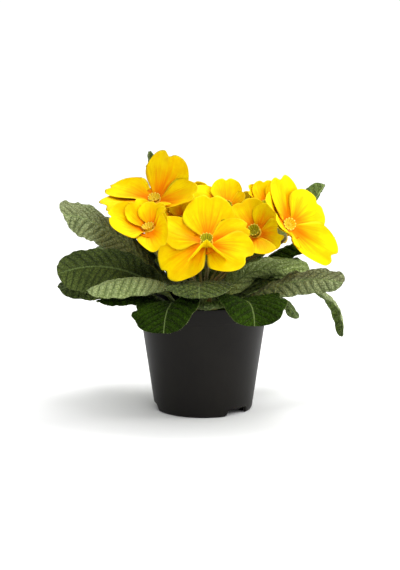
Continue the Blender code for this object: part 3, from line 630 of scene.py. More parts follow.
def leaf_skins(leaf, seed, cell=CELL):
    """A leaf's upper and lower points, and its two UV maps: (across, along) and (across, vein count)."""
    length, half_width = leaf.length * MM, leaf.width / 2 * MM
    columns = 2 * int(half_width / cell * 1.1)
    u = np.linspace(0, 1, int(length / cell) + 1)
    s = np.where(u < 0.9, u, 0.9 + 0.0995 * np.sin((u - 0.9) / 0.1 * np.pi / 2))
    t = np.linspace(1, -1, columns + 1)
    t = np.sign(t) * np.abs(t) ** 1.15
    mid = np.abs(t)
    side = np.where(t > 0, 0, 1)
    midrib, left, up = leaf_spine(leaf, s)
    wave = np.cos(2 * np.pi * LEAF_WAVES * np.minimum(s / LEAF_END, 1))[:, None]
    outline = half_width * leaf_outline(s)[:, None] * (1 + LEAF_SCALLOP * wave)
    opened = smooth((s - 0.05) / 0.4)
    teeth = leaf_teeth(length, s, opened, np.random.default_rng(seed))
    s, opened = s[:, None], opened[:, None]
    reach = outline + teeth[:, side]

    # The smooth blade, folded along its midrib and curled towards its margins
    turn = np.array(leaf.curl)[side] * opened * (1 - 0.7 * smooth((s - 0.75) / 0.25))
    run, rise = arc(reach, np.array(leaf.fold)[side] * opened, turn, mid)
    grid = midrib[:, None] + left[:, None] * (np.sign(t) * run)[..., None] + up[:, None] * rise[..., None]

    # Veins, counted from the leaf's foot along each half
    x = mid * reach
    lay = s * length
    wander = 0.12 * tremble(stacked(x, lay), WANDER_SPREAD, seed + 1)
    slant = x * VEIN_SLANT + x**2 * VEIN_BEND
    counts = [(lay - slant) / VEIN_SPACING + shift + wander for shift in (0, VEIN_SHIFT)]
    veins = np.where(t > 0, *counts)
    dome = np.abs(np.sin(np.pi * veins)) ** 0.8

    # The relief of the upper side
    reach_out = smooth(mid / 0.22) * (1 - 0.7 * smooth((mid - 0.7) / 0.3))
    size = 0.6 + 0.4 * leaf.width / 45
    quilt = QUILT_HEIGHT * size * (dome - 0.55) * reach_out * opened
    pucker_run = x / PUCKER_SPACING + 0.37 * np.floor(veins) + 0.3 * wander
    pucker = PUCKER_HEIGHT * (np.abs(np.sin(np.pi * pucker_run)) ** 0.8 - 0.6) * dome * opened
    pucker = pucker * smooth(mid / 0.3) * (1 - 0.6 * smooth((mid - 0.8) / 0.2))
    rough = ROUGH_HEIGHT * tremble(grid, ROUGH_SPREAD, seed + 2) * opened
    margin = MARGIN_WAVE * opened * mid**4 * np.sin(2 * np.pi * (veins * 0.5 + 0.3 * leaf.ring))
    soft = LEAF_WAVE_HEIGHT * opened * wave * mid**2 * 0.7
    groove = GROOVE_DEPTH * bell(x, GROOVE_WIDTH) * (1 - 0.6 * s) * opened
    lift = (quilt + pucker + rough + margin + soft - groove) * (1 - 0.6 * smooth((s - 0.92) / 0.08))
    upper = grid + normals_towards(grid, up, columns // 2) * lift[..., None]

    # The lower side, with its keel and the ridges of its veins
    edge = np.minimum(smooth((reach - x) / MARGIN_TAPER + 0.15), smooth((1 - s) * length / TIP_TAPER))
    keel = RIB_DEPTH * (1.05 - 0.75 * s) * bell(x, RIB_WIDTH)
    ridge = VEIN_RIDGE * (1 - dome) ** 2 * reach_out * opened
    thick = edge * (BLADE_THICKNESS + ridge) + keel * smooth((1 - s) / 0.06)
    lower = upper - normals_towards(upper, up, columns // 2) * thick[..., None]
    return upper, lower, stacked(t, s), tuple(stacked(np.sign(t) * x * 100, count) for count in counts)


def make_leaf(leaf, seed, finishes):
    """One leaf's piece. Gives its upper and lower points, for the hairs."""
    upper, lower, surface, pattern = leaf_skins(leaf, seed)
    blade = Builder()
    blade.leaf_skin(upper, lower, surface, pattern)
    blade.build("blade_" + leaf.name, finishes, ["leaf_" + leaf.name])
    return upper, lower


def make_young_leaves(finishes):
    """The young leaves, all in one piece."""
    young = Builder()
    for number, leaf in enumerate(YOUNG_LEAVES):
        young.leaf_skin(*leaf_skins(leaf, YOUNG_SEED + number, YOUNG_CELL))
    young.build("young_leaves", finishes)


# Blooms


def bloom_axes(bloom):
    """The bloom's throat point, and its right, up and facing directions, seen by someone whom it faces."""
    facing = direction(bloom.azimuth, bloom.height)
    right = unit(np.cross([0, 0, 1], facing))
    return np.array(bloom.centre) * MM, right, np.cross(facing, right), facing


def petal_shares():
    """The shares of a petal's rows, from 0 at the throat to 1, and of its columns, from -1 to 1."""
    v = np.linspace(0, 1, PETAL_ROWS + 1)[:, None]
    w = np.sin(np.linspace(-1, 1, PETAL_COLUMNS + 1) * CROWDING)[None, :] / math.sin(CROWDING)
    return v, w


def petal_outline(width, length, sectors):
    """A petal laid flat, heart-shaped on a claw that fills its sector: its side and outward coordinates."""
    v, w = petal_shares()
    claw = np.radians(np.where(w > 0, sectors[1], sectors[0]) * w)
    rim = 0.42 + 0.58 * (1 - np.abs(w) ** 2.6) ** 0.62 - 0.09 * bell(w, 0.15)
    side = THROAT_RADIUS * np.sin(claw) * (1 - v) + w * width * np.sin(np.pi / 2 * v) ** 1.2
    outward = THROAT_RADIUS * (1 - (1 - np.cos(claw)) * (1 - v)) + length * v * rim
    return v, w, side, outward


def round_bloom(petals, values, angle):
    """The value at an angle round a bloom, eased from each petal's own to the next one's."""
    angles = np.array([petal.angle for petal in petals])
    angles = np.concatenate([angles[-1:] - 360, angles, angles[:1] + 360])
    values = np.array([values[-1], *values, values[0]])
    turned = (angle - angles[0]) % 360 + angles[0]
    k = np.clip(np.searchsorted(angles, turned, side="right") - 1, 0, len(petals))
    share = smooth((turned - angles[k]) / (angles[k + 1] - angles[k]))
    return values[k] + (values[k + 1] - values[k]) * share


def cup_at(petals, angle):
    """The tilt and the bend of a bloom's cupped surface at an angle round it."""
    tilt = round_bloom(petals, [petal.tilt for petal in petals], angle)
    return tilt, round_bloom(petals, [petal.bend for petal in petals], angle)


def in_bloom(bloom, angle, out, forward):
    """Points at an angle round a bloom, out from its axis and forward of its throat."""
    throat, right, up, facing = bloom_axes(bloom)
    angle = np.radians(angle)[..., None]
    across = np.cos(angle) * right + np.sin(angle) * up
    return throat + out[..., None] * across + forward[..., None] * facing


def petal_surface(bloom, number):
    """Points of a petal's front face.

    All petals of a bloom lie on one cupped surface, each with its left margin over the next one and its
    right margin under the last, so that they never cross.
    """
    petals = bloom.petals
    petal = petals[number]
    before, after = petals[number - 1], petals[(number + 1) % len(petals)]
    sectors = ((petal.angle - before.angle) % 360 / 2, (after.angle - petal.angle) % 360 / 2)
    full = bloom.radius * MM - THROAT_RADIUS
    width = bloom.radius * MM * PETAL_WIDEST * petal.width
    v, w, side, outward = petal_outline(width, full * petal.length, sectors)
    flat = np.hypot(side, outward)
    reach = np.maximum(flat - THROAT_RADIUS, 0)
    swing = np.degrees(np.arctan2(side, outward))
    angle = petal.angle + swing
    for _ in range(3):
        tilt, bend = cup_at(petals, angle)
        run, rise = arc(full, tilt, bend, reach / full)
        angle = petal.angle + swing * np.minimum(flat / (THROAT_RADIUS + run), 1.5)
    lean = np.radians(tilt + bend * reach / full)
    layer = PETAL_LAYER * np.clip(w * 2, -1, 1) * smooth(v / 0.2)
    lift = layer + PETAL_WAVE * v**2 * np.cos(2 * np.pi * w)
    return in_bloom(bloom, angle, THROAT_RADIUS + run - np.sin(lean) * lift, rise + np.cos(lean) * lift)


def extra_petal_surface(bloom, petal):
    """Points of a petal that stands in front of the others, folded along its middle."""
    throat, right, up, facing = bloom_axes(bloom)
    turn = math.radians(petal.angle)
    ahead = right * math.cos(turn) + up * math.sin(turn)
    aside = up * math.cos(turn) - right * math.sin(turn)
    length = (bloom.radius * MM - THROAT_RADIUS) * petal.length
    width = bloom.radius * MM * PETAL_WIDEST * petal.width
    v, w, side, outward = petal_outline(width, length, (20, 20))
    reach = outward - THROAT_RADIUS
    run, rise = arc(length, petal.tilt, petal.bend, reach / length)
    lean = np.radians(petal.tilt + petal.bend * reach / length)
    fold = np.radians(petal.fold * smooth(v * 1.5))
    lift = np.abs(side) * np.sin(fold) + PETAL_WAVE * v**2 * np.cos(2 * np.pi * w)
    out = THROAT_RADIUS - PETAL_THICKNESS / 2 + run - np.sin(lean) * lift
    forward = rise + np.cos(lean) * lift - PETAL_THICKNESS / 2
    across = side * np.cos(fold)
    return throat + out[..., None] * ahead + forward[..., None] * facing + across[..., None] * aside


def petal_skin(front):
    """Points of the back of a petal, from those of its front. The two meet at the margin."""
    v, w = (np.linspace(low, 1, count) for low, count in zip((0, -1), front.shape))
    inner = smooth((1 - v[:, None]) / 0.06) * smooth((1 - np.abs(w)) / 0.06)
    return front - normals_of(front) * (PETAL_SKIN * inner)[..., None]


def fine_petal(grid, facing, seed, crease):
    """Adds a middle crease, fine radial folds and a ruffled rim to a petal's smooth surface."""
    v, w = petal_shares()
    a, b, c = np.random.default_rng(seed).uniform(0, PHASES, 3)
    ruffle = PETAL_RUFFLE * v**4 * np.sin(6 * w + a) * (0.6 + 0.4 * np.sin(4 * w + b))
    side_ruffle = PETAL_SIDE_RUFFLE * np.abs(w) ** 6 * np.sin(8 * v + c) * smooth(v / 0.3)
    furrow = PETAL_CREASE * crease * bell(w, 0.10) * np.sin(np.pi * np.minimum(v * 1.1, 1)) ** 0.7
    rays = PETAL_RAY * np.cos(26 * w + 2 * np.sin(3 * v + a)) * np.sin(np.pi * v) ** 0.6
    pillow = PETAL_PILLOW * tremble(grid, PILLOW_SPREAD, seed + 3) * smooth(v / 0.3)
    lift = ruffle + side_ruffle - furrow + rays + pillow
    return grid + normals_towards(grid, facing) * lift[..., None]


def joined_petals(bloom):
    """Points of the ring round the throat in which the petals have grown together, just behind them."""
    angle = np.linspace(0, 360, JOINED_STEPS[1] + 1)[None, :]
    share = np.linspace(0, JOINED_SHARE, JOINED_STEPS[0] + 1)[:, None]
    tilt, bend = cup_at(bloom.petals, angle)
    run, rise = arc(bloom.radius * MM - THROAT_RADIUS, tilt, bend, share)
    lean = np.radians(tilt + bend * share)
    out = THROAT_RADIUS + run + np.sin(lean) * PETAL_LAYER
    return in_bloom(bloom, angle, out, rise - np.cos(lean) * PETAL_LAYER)


def make_corolla(bloom, number, finishes):
    """Petals with their tube: finishes are a petal's front and back, the throat, the frill and the fold."""
    axes = bloom_axes(bloom)
    facing = axes[-1]
    corolla = Builder()
    grids = [petal_surface(bloom, k) for k in range(len(bloom.petals))]
    grids += [extra_petal_surface(bloom, petal) for petal in bloom.extra]
    v, w = petal_shares()
    for k, grid in enumerate(grids):
        extra = k >= len(bloom.petals)
        fine = fine_petal(grid, facing, PETAL_SEED + 10 * number + k, 0.3 if extra else 1)
        grid = turned_to(fine, facing)
        streaks = stacked(w + 3.7 * k + 20.0 * number, v)
        corolla.leaf_skin(grid, petal_skin(grid), stacked(w, v), streaks, *((4, 4) if extra else (0, 1)))
    joined = turned_to(joined_petals(bloom), facing)
    around = np.linspace(0, 20, joined.shape[1])
    depth = np.linspace(0, 0.25, joined.shape[0])[:, None]
    corolla.leaf_skin(joined, petal_skin(joined), stacked(0, depth + 0 * around), stacked(around, depth))
    lip = THROAT_RADIUS + 0.25 * MM
    funnel = (
        (lip, -0.05 * MM),
        (THROAT_RADIUS * 0.86, -0.5 * MM),
        (FUNNEL_RADIUS, -FUNNEL_DEPTH),
        (TUBE_BORE, -5 * MM),
        (TUBE_BORE, -TUBE_LENGTH),
        (TUBE_BORE + 0.5 * MM, -TUBE_LENGTH),
        (TUBE_BORE + 0.55 * MM, -5.4 * MM),
        (FUNNEL_RADIUS + 0.5 * MM, -FUNNEL_DEPTH - 0.5 * MM),
        (THROAT_RADIUS * 0.86 + 0.2 * MM, -0.95 * MM),
        (lip, -0.45 * MM),
        (lip, -0.05 * MM),
    )
    corolla.turned(funnel[::-1], TUBE_SIDES, axes, slot=2)
    inner = eye_radius(bloom) * EYE_FOOT_SHARE + 0.5 * MM
    frill = (
        (inner, 0),
        (inner + 0.2 * MM, 0.5 * MM),
        (inner + 0.6 * MM, 0.8 * MM),
        (inner + 1.0 * MM, 0.55 * MM),
        (inner + 1.3 * MM, 0.1 * MM),
    )

    def pleats(radius, height, angle):
        pleat = np.cos(10 * angle + number) + 0.4 * np.cos(5 * angle + 1.3)
        raised = np.clip(height / (0.8 * MM), 0, 1)
        return radius + 0.16 * MM * pleat * raised, height * (0.75 + 0.22 * pleat)

    corolla.turned(frill[::-1], FRILL_SIDES, axes, pleats, slot=3)
    corolla.build(bloom.name + "_petals", finishes, [bloom.name + "_corolla"])


def stalk_path(bloom, count):
    """Points of the flower stalk, from the crown up and round to the calyx."""
    throat, _, _, facing = bloom_axes(bloom)
    azimuth, reach = bloom.seat
    out = reach * MM
    dome = CROWN_RISE * math.sqrt(1 - (out / CROWN_RADIUS) ** 2)
    start = direction(azimuth, 0) * out + np.array([0, 0, SOIL_LEVEL + dome + STALK_LIFT])
    end = throat - facing * (TUBE_LENGTH + CLEARANCE + 1.5 * MM)
    span = np.linalg.norm(end - start)
    leave = start + direction(azimuth, 82) * span * 0.4
    arrive = end - facing * span * 0.3 + np.array(bloom.bow) * MM
    t = np.linspace(0, 1, count)[:, None]
    return (1 - t) ** 3 * start + 3 * (1 - t) ** 2 * t * leave + 3 * (1 - t) * t**2 * arrive + t**3 * end


def make_stalk(bloom, finishes):
    """The stalk and its ribbed calyx with five pointed teeth."""
    path = stalk_path(bloom, STALK_POINTS)
    t = np.linspace(0, 1, STALK_POINTS)
    stem = Builder()
    swell = 0.25 * smooth((t - 0.9) / 0.1) + 0.2 * smooth((0.06 - t) / 0.06)
    stem.tube(path, STALK_RADIUS * (1 - 0.12 * t + swell), STALK_SIDES)
    floor = -(TUBE_LENGTH + CLEARANCE)
    bottom = floor - 1.5 * MM
    top = bottom + CALYX_LENGTH
    cup = [(STALK_RADIUS * 1.2, bottom), (STALK_RADIUS * 1.9, bottom + 0.7 * MM)]
    outside = (np.linspace(0, 1, 14), 1.2 * MM, 0)
    inside = (np.linspace(1, 0, 8), 1.6 * MM, CALYX_WALL * 0.6)
    for shares, lift, wall in (outside, inside):
        for share in shares:
            bulge = CALYX_RADIUS * (1 + 0.12 * math.sin(share * 2.6)) - wall
            cup.append((bulge, floor + lift + share * (top - floor - lift)))
    cup.append((TUBE_BORE + 0.62 * MM, floor + 0.3 * MM))

    def ribs(radius, height, angle):
        ridge = np.abs(np.cos(2.5 * angle)) ** 3
        up = np.clip((height - floor) / (top - floor), 0, 1)
        radius = radius * (1 + 0.13 * (ridge - 0.4) * (radius > STALK_RADIUS * 1.5))
        tooth = CALYX_TOOTH * (np.abs((angle * 5 / (2 * np.pi)) % 1 - 0.5) * 2) ** 1.3 - CALYX_DIP
        return radius + 0.25 * MM * up**3 * ridge, height + up**2.5 * tooth

    stem.turned(cup, CALYX_SIDES, bloom_axes(bloom), ribs, slot=1)
    stem.build(bloom.name + "_stem", finishes, [bloom.name + "_stalk"])


def eye_radius(bloom):
    """The radius of a bloom's eye at its rim, smaller in a small bloom."""
    return EYE_RADIUS * min(1, bloom.radius * MM / EYE_FULL_BLOOM)


def make_eye(bloom, finishes):
    """The pleated goblet in the throat, ribbed outside and inside, with a small stigma in it."""
    radius = eye_radius(bloom)
    height = radius * EYE_HEIGHT / EYE_RADIUS * EYE_SHOWN.get(bloom.name, 1)
    slope = FUNNEL_DEPTH / (THROAT_RADIUS - FUNNEL_RADIUS)
    foot = (radius * EYE_FOOT_SHARE + EYE_ROOM - THROAT_RADIUS) * slope

    def wall_at(share, narrowing=1):
        flare = EYE_FOOT_SHARE + (1 - EYE_FOOT_SHARE) * share**1.4
        return radius * flare * narrowing, foot + (height - foot) * share

    profile = [(0.01 * MM, foot), (radius * EYE_FOOT_SHARE * 0.7, foot)]
    profile += [wall_at(share) for share in np.linspace(0, 1, 14)]
    profile += [wall_at(share, 0.9 - 0.5 * (1 - share) ** 2) for share in np.linspace(1, 0.3, 12)]
    profile += [(radius * 0.1, foot + (height - foot) * 0.3), (radius * 0.08, height * 0.45)]
    knob = radius * 0.16
    for a in np.radians(np.linspace(-60, 89, 8)):
        profile.append((knob * math.cos(a), height * 0.55 + knob * math.sin(a)))

    def pleats(ring, level, angle):
        up = np.clip((level - foot) / (height - foot), 0, 1)
        outer = smooth((ring / radius - 0.35) / 0.2) * smooth(up * 3)
        pleat = np.abs(np.cos(EYE_RIBS / 2 * angle)) ** 0.8 - 0.6
        return ring * (1 + 0.14 * pleat * outer), level + 0.7 * MM * pleat * up**4 * outer

    eye = Builder()
    eye.turned(profile, EYE_SIDES, bloom_axes(bloom), pleats)
    eye.build(bloom.name + "_goblet", finishes, [bloom.name + "_eye"])


# Pot, soil and crown


def pot_radius(z):
    """Outer radius of the pot's wall below its collar."""
    top = POT_TOP_RADIUS - POT_COLLAR_STEP
    return POT_FOOT_RADIUS + (top - POT_FOOT_RADIUS) * z / POT_HEIGHT


def pot_inside(z):
    """Inner radius of the pot's wall."""
    return pot_radius(z) - POT_WALL


def eased(corners):
    """A profile whose inner corners are cut back and rounded."""
    corners = [np.array(p, float) for p in corners]
    points = [corners[0]]
    for before, corner, after in zip(corners, corners[1:], corners[2:]):
        back, on = before - corner, after - corner
        reach = min(POT_ROUNDING, 0.4 * np.linalg.norm(back), 0.4 * np.linalg.norm(on))
        a, b = corner + unit(back) * reach, corner + unit(on) * reach
        for share in (0, 0.33, 0.67, 1):
            points.append((1 - share) ** 2 * a + 2 * share * (1 - share) * corner + share**2 * b)
    return [*points, corners[-1]]


def filled(points, step):
    """A profile with points added so that none are further apart than step."""
    out = [points[0]]
    for a, b in zip(points, points[1:]):
        count = max(1, int(np.ceil(np.linalg.norm(b - a) / step)))
        out += [a + (b - a) * k / count for k in range(1, count + 1)]
    return out


def add_floor(pot, outer, bottom, top):
    """Adds the pot's floor out to a radius: one panel round each drain hole, meeting edge to edge."""
    half = math.pi / DRAIN_HOLES
    turn = np.linspace(-half, half, POT_SIDES // DRAIN_HOLES + 1)
    side = np.linspace(outer, 0, 14)[1:]
    reach = np.concatenate([np.full(len(turn), outer), side, side[-2::-1], [outer]])
    swing = np.concatenate([turn, np.full(len(side), half), np.full(len(side), -half)])
    rim = polar(reach, swing)
    middle = np.array([DRAIN_HOLE_CIRCLE, 0])
    hole = middle + unit(rim - middle) * DRAIN_HOLE_RADIUS
    panel = hole + (rim - hole) * np.linspace(0, 1, 4)[:, None, None]
    radius = np.hypot(panel[..., 0], panel[..., 1])
    for k in range(DRAIN_HOLES):
        angle = np.arctan2(panel[..., 1], panel[..., 0]) + math.pi / 2 + 2 * half * k
        maps = stacked(angle, radius)
        low, high = (pot.add_points(polar(radius, angle, z)) for z in (bottom, top))
        pot.add_quads(low, maps, maps)
        pot.add_quads(high, maps, maps, flip=True)
        pot.add_quads(np.stack([low[0], high[0]]), maps[:2], maps[:2], flip=True)


def weld(obj):
    """Joins the points of an object's mesh that lie in one place."""
    shape = bmesh.new()
    shape.from_mesh(obj.data)
    bmesh.ops.remove_doubles(shape, verts=shape.verts, dist=0.001 * MM)
    shape.to_mesh(obj.data)
    shape.free()


def notched(radius, height, angle):
    """Lifts the pot's foot at its notches, along the slope of its wall."""
    half = math.degrees(FOOT_NOTCH_WIDTH / 2 / POT_FOOT_RADIUS)
    lifted = height
    for centre in FOOT_NOTCH_ANGLES:
        off = np.abs((np.degrees(angle) - centre + 180) % 360 - 180)
        low = FOOT_NOTCH_HEIGHT * smooth((half - off) / 2.5 + 0.5)
        lifted = np.where(height < FOOT_NOTCH_HEIGHT, np.maximum(lifted, low), lifted)
    outer = radius > pot_radius(0) - POT_WALL * 0.75
    return radius + outer * (pot_radius(lifted) - pot_radius(height)), lifted


def make_pot(finishes):
    """The thin-walled pot with its collar, foot notches and drain holes."""
    collar = POT_HEIGHT - POT_COLLAR_HEIGHT
    floor_top = POT_FLOOR_LIFT + POT_WALL
    corners = (
        (POT_FLOOR_REACH, floor_top),
        (pot_inside(floor_top), floor_top),
        (pot_inside(collar), collar),
        (pot_inside(POT_HEIGHT), POT_HEIGHT),
        (POT_TOP_RADIUS, POT_HEIGHT),
        (pot_radius(collar) + POT_COLLAR_STEP, collar),
        (pot_radius(collar), collar - POT_COLLAR_STEP),
        (pot_radius(1.2 * MM), 1.2 * MM),
        (POT_FOOT_RADIUS - 0.5 * MM, 0),
        (pot_inside(0) - 0.8 * MM, 0),
        (pot_inside(POT_FLOOR_LIFT) - 0.4 * MM, POT_FLOOR_LIFT),
        (POT_FLOOR_REACH, POT_FLOOR_LIFT),
    )
    pot = Builder()
    pot.turned(filled(eased(corners), POT_CELL)[::-1], POT_SIDES, shape=notched)
    add_floor(pot, POT_FLOOR_REACH, POT_FLOOR_LIFT, floor_top)
    weld(pot.build("nursery_pot", finishes, ["pot"]))


def make_soil(finishes):
    """The compost's rough surface, and crumbs, bark and perlite lying on it."""
    bottom = POT_FLOOR_LIFT + POT_WALL + CLEARANCE
    edge = pot_inside(SOIL_LEVEL) - CLEARANCE
    recess = CROWN_RADIUS + CLEARANCE
    recess_floor = SOIL_LEVEL - CROWN_ROOT - CLEARANCE
    profile = [(AXIS_GAP, recess_floor), (recess, recess_floor), (recess, SOIL_LEVEL - 3 * MM)]
    for share in np.linspace(0, 1, 40):
        level = SOIL_LEVEL - 1.5 * MM * (1 - math.sin(share * math.pi) ** 0.7)
        profile.append((recess + (edge - recess) * share, level))
    profile += [(pot_inside(bottom) - CLEARANCE, bottom), (AXIS_GAP, bottom)]

    def rough(radius, height, angle):
        place = polar(radius, angle)
        bumps = tremble(place, 2.2 * MM, SOIL_SEED) + 0.6 * tremble(place, 5 * MM, SOIL_SEED + 1)
        on_top = (radius > recess + 0.5 * MM) & (radius < edge - 0.2 * MM) & (height > SOIL_LEVEL - 2 * MM)
        return radius, height + 0.55 * MM * bumps * on_top

    soil = Builder()
    soil.turned(profile[::-1], SOIL_SIDES, shape=rough)
    soil.build("compost_surface", finishes[:1], ["potting_soil"])
    crumbs = Builder()
    chance = np.random.default_rng(CRUMB_SEED)
    lat = np.radians(np.linspace(-89, 89, 6))[:, None]
    lon = np.linspace(0, 2 * np.pi, 9)[None, :]
    ball = polar(np.cos(lat), lon, np.sin(lat))
    maps = stacked(lon, lat)
    for k in range(CRUMBS):
        angle = chance.uniform(0, 2 * math.pi)
        reach = recess + 1.5 * MM + (edge - recess - 3 * MM) * math.sqrt(chance.uniform(0, 1))
        perlite = k % PERLITE_EVERY == 0
        size = chance.uniform(0.5, 1.1) * MM * (1.1 if perlite else 1)
        turn = np.linalg.qr(chance.normal(size=(3, 3)))[0]
        stretch = np.array([1, chance.uniform(0.6, 1), chance.uniform(0.5, 0.9)]) * size
        bump = chance.uniform(0.85, 1.15, size=ball.shape[:2])
        bump[:, -1] = bump[:, 0]
        middle = polar(reach, angle, SOIL_LEVEL + 0.2 * size)
        index = crumbs.add_round((ball * bump[..., None] * stretch) @ turn.T + middle)
        crumbs.add_quads(index, maps, maps, int(perlite))
    crumbs.build("compost_crumbs", finishes)


def make_crown(finishes):
    """The crown's dome, with the scars of old leaves round it."""
    profile = [(AXIS_GAP, SOIL_LEVEL - CROWN_ROOT)]
    profile += [(CROWN_RADIUS, SOIL_LEVEL - CROWN_ROOT * k) for k in (1, 0.75, 0.5, 0.25)]
    for a in np.radians(np.linspace(0, 89.5, 22)):
        profile.append((CROWN_RADIUS * math.cos(a), SOIL_LEVEL + CROWN_RISE * math.sin(a)))

    def scarred(radius, height, angle):
        place = polar(radius, angle, height)
        above = height > SOIL_LEVEL - 3 * MM
        rings = np.cos((height - SOIL_LEVEL) / (0.55 * MM) + 3 * np.sin(angle * 3))
        scars = rings * 0.5 + 0.5 + np.abs(tremble(place, 1.6 * MM, CROWN_SEED))
        return radius - 0.2 * MM * scars * above, height

    crown = Builder()
    crown.turned(profile, CROWN_SIDES, shape=scarred)
    crown.build("crown_stem", finishes, ["crown"])


def make_hairs(blades, finishes):
    """Short pale hairs on the stalks, and along the margins and midribs of the leaves."""
    chance = np.random.default_rng(HAIR_SEED)
    grown = []

    def grow(root, way, shortest, longest, radius, out=0):
        way = unit(way)
        grown.append((root + way * out, way, chance.uniform(shortest, longest) * MM, radius))

    for bloom in BLOOMS:
        path = stalk_path(bloom, 60)
        ahead = np.gradient(path, axis=0)
        for _ in range(STALK_HAIRS):
            k = int(chance.integers(2, 58))
            way = np.cross(ahead[k], chance.normal(size=3))
            grow(path[k], way, 0.5, 1.1, HAIR_RADIUS, STALK_RADIUS * 0.85)
    for upper, lower in blades:
        rows = upper.shape[0] - 1
        for _ in range(MARGIN_HAIRS):
            k = int(chance.integers(rows // 8, rows))
            edge, inner = (0, 2) if chance.random() < 0.5 else (-1, -3)
            way = unit(upper[k, edge] - upper[k, inner]) + chance.normal(size=3) * 0.35
            grow(upper[k, edge], way, 0.25, 0.6, MARGIN_HAIR_RADIUS)
        middle = upper.shape[1] // 2
        for _ in range(MIDRIB_HAIRS):
            k = int(chance.integers(3, int(rows * 0.75)))
            way = unit(lower[k, middle] - upper[k, middle]) + chance.normal(size=3) * 0.5
            grow(lower[k, middle], way, 0.4, 0.9, HAIR_RADIUS)
    hairs = Builder()
    hairs.spikes(*(np.array(column) for column in zip(*grown)))
    hairs.build("fine_hairs", finishes)


# Materials


def tint(red, green, blue):
    """A linear colour from 0 to 255 values as they are seen on a screen."""
    seen = [value / 255 for value in (red, green, blue)]
    return tuple(c / 12.92 if c <= 0.04045 else ((c + 0.055) / 1.055) ** 2.4 for c in seen)


class Value:
    """What a node gives. Sums, products and the like of values are nodes too."""

    def __init__(self, nodes, socket):
        self.nodes, self.socket = nodes, socket

    def math(self, operation, other=0.0):
        return self.nodes.node("ShaderNodeMath", {0: self, 1: other}, operation=operation)

    def __add__(self, other):
        return self.math("ADD", other)

    def __sub__(self, other):
        return self.math("SUBTRACT", other)

    def __mul__(self, other):
        return self.math("MULTIPLY", other)

    def __abs__(self):
        return self.math("ABSOLUTE")

    def fade(self, low, high):
        """0 where the value is low and 1 where it is high, eased between."""
        values = {"Value": self, "From Min": low, "From Max": high}
        return self.nodes.node("ShaderNodeMapRange", values, interpolation_type="SMOOTHSTEP")


class Nodes:
    """Adds nodes to a node tree."""

    def __init__(self, tree):
        self.tree = tree

    def put(self, socket, value):
        """Links a value to a socket, or sets a number or colour on it."""
        if isinstance(value, Value):
            self.tree.links.new(value.socket, socket)
        elif socket.type == "RGBA":
            socket.default_value = (*value, 1)
        else:
            socket.default_value = value

    def node(self, kind, values, output=0, **settings):
        """Adds a node, with values for its inputs, and gives one of its outputs."""
        made = self.tree.nodes.new(kind)
        for key, value in settings.items():
            setattr(made, key, value)
        for key, value in values.items():
            self.put(made.inputs[key], value)
        return Value(self, made.outputs[output])


class Finish(Nodes):
    """One material, built up from its Principled shader. Colours are laid over each other."""

    def __init__(self, name, colour, roughness, specular, sheen=0):
        self.material = bpy.data.materials.new(name)
        self.material.use_nodes = True
        super().__init__(self.material.node_tree)
        self.inputs = self.tree.nodes["Principled BSDF"].inputs
        self.inputs["Roughness"].default_value = roughness
        self.inputs["Specular IOR Level"].default_value = specular
        self.inputs["Sheen Weight"].default_value = sheen
        self.colour = colour

    def lay(self, colour, share):
        self.colour = self.node("ShaderNodeMix", {0: share, 6: self.colour, 7: colour}, 2, data_type="RGBA")

    def place(self):
        return self.node("ShaderNodeTexCoord", {}, "Object")

    def uv(self, name):
        """The two coordinates of a UV map."""
        point = self.node("ShaderNodeUVMap", {}, uv_map=name)
        return [self.node("ShaderNodeSeparateXYZ", {0: point}, axis) for axis in "XY"]

    def stretched(self, x, y):
        return self.node("ShaderNodeCombineXYZ", {0: x, 1: y})

    def noise(self, place, scale, detail=3.0, roughness=0.55):
        values = {"Vector": place, "Scale": scale, "Detail": detail, "Roughness": roughness}
        return self.node("ShaderNodeTexNoise", values)

    def cells(self, place, scale):
        """The distance to the edges of a net of cells."""
        values = {"Vector": place, "Scale": scale}
        return self.node("ShaderNodeTexVoronoi", values, feature="DISTANCE_TO_EDGE")

    def finish(self, roughness=None, height=None, distance=0, strength=0.6):
        self.put(self.inputs["Base Color"], self.colour)
        if roughness:
            self.put(self.inputs["Roughness"], roughness)
        if height:
            values = {"Height": height, "Distance": distance, "Strength": strength}
            self.put(self.inputs["Normal"], self.node("ShaderNodeBump", values))
        return self.material


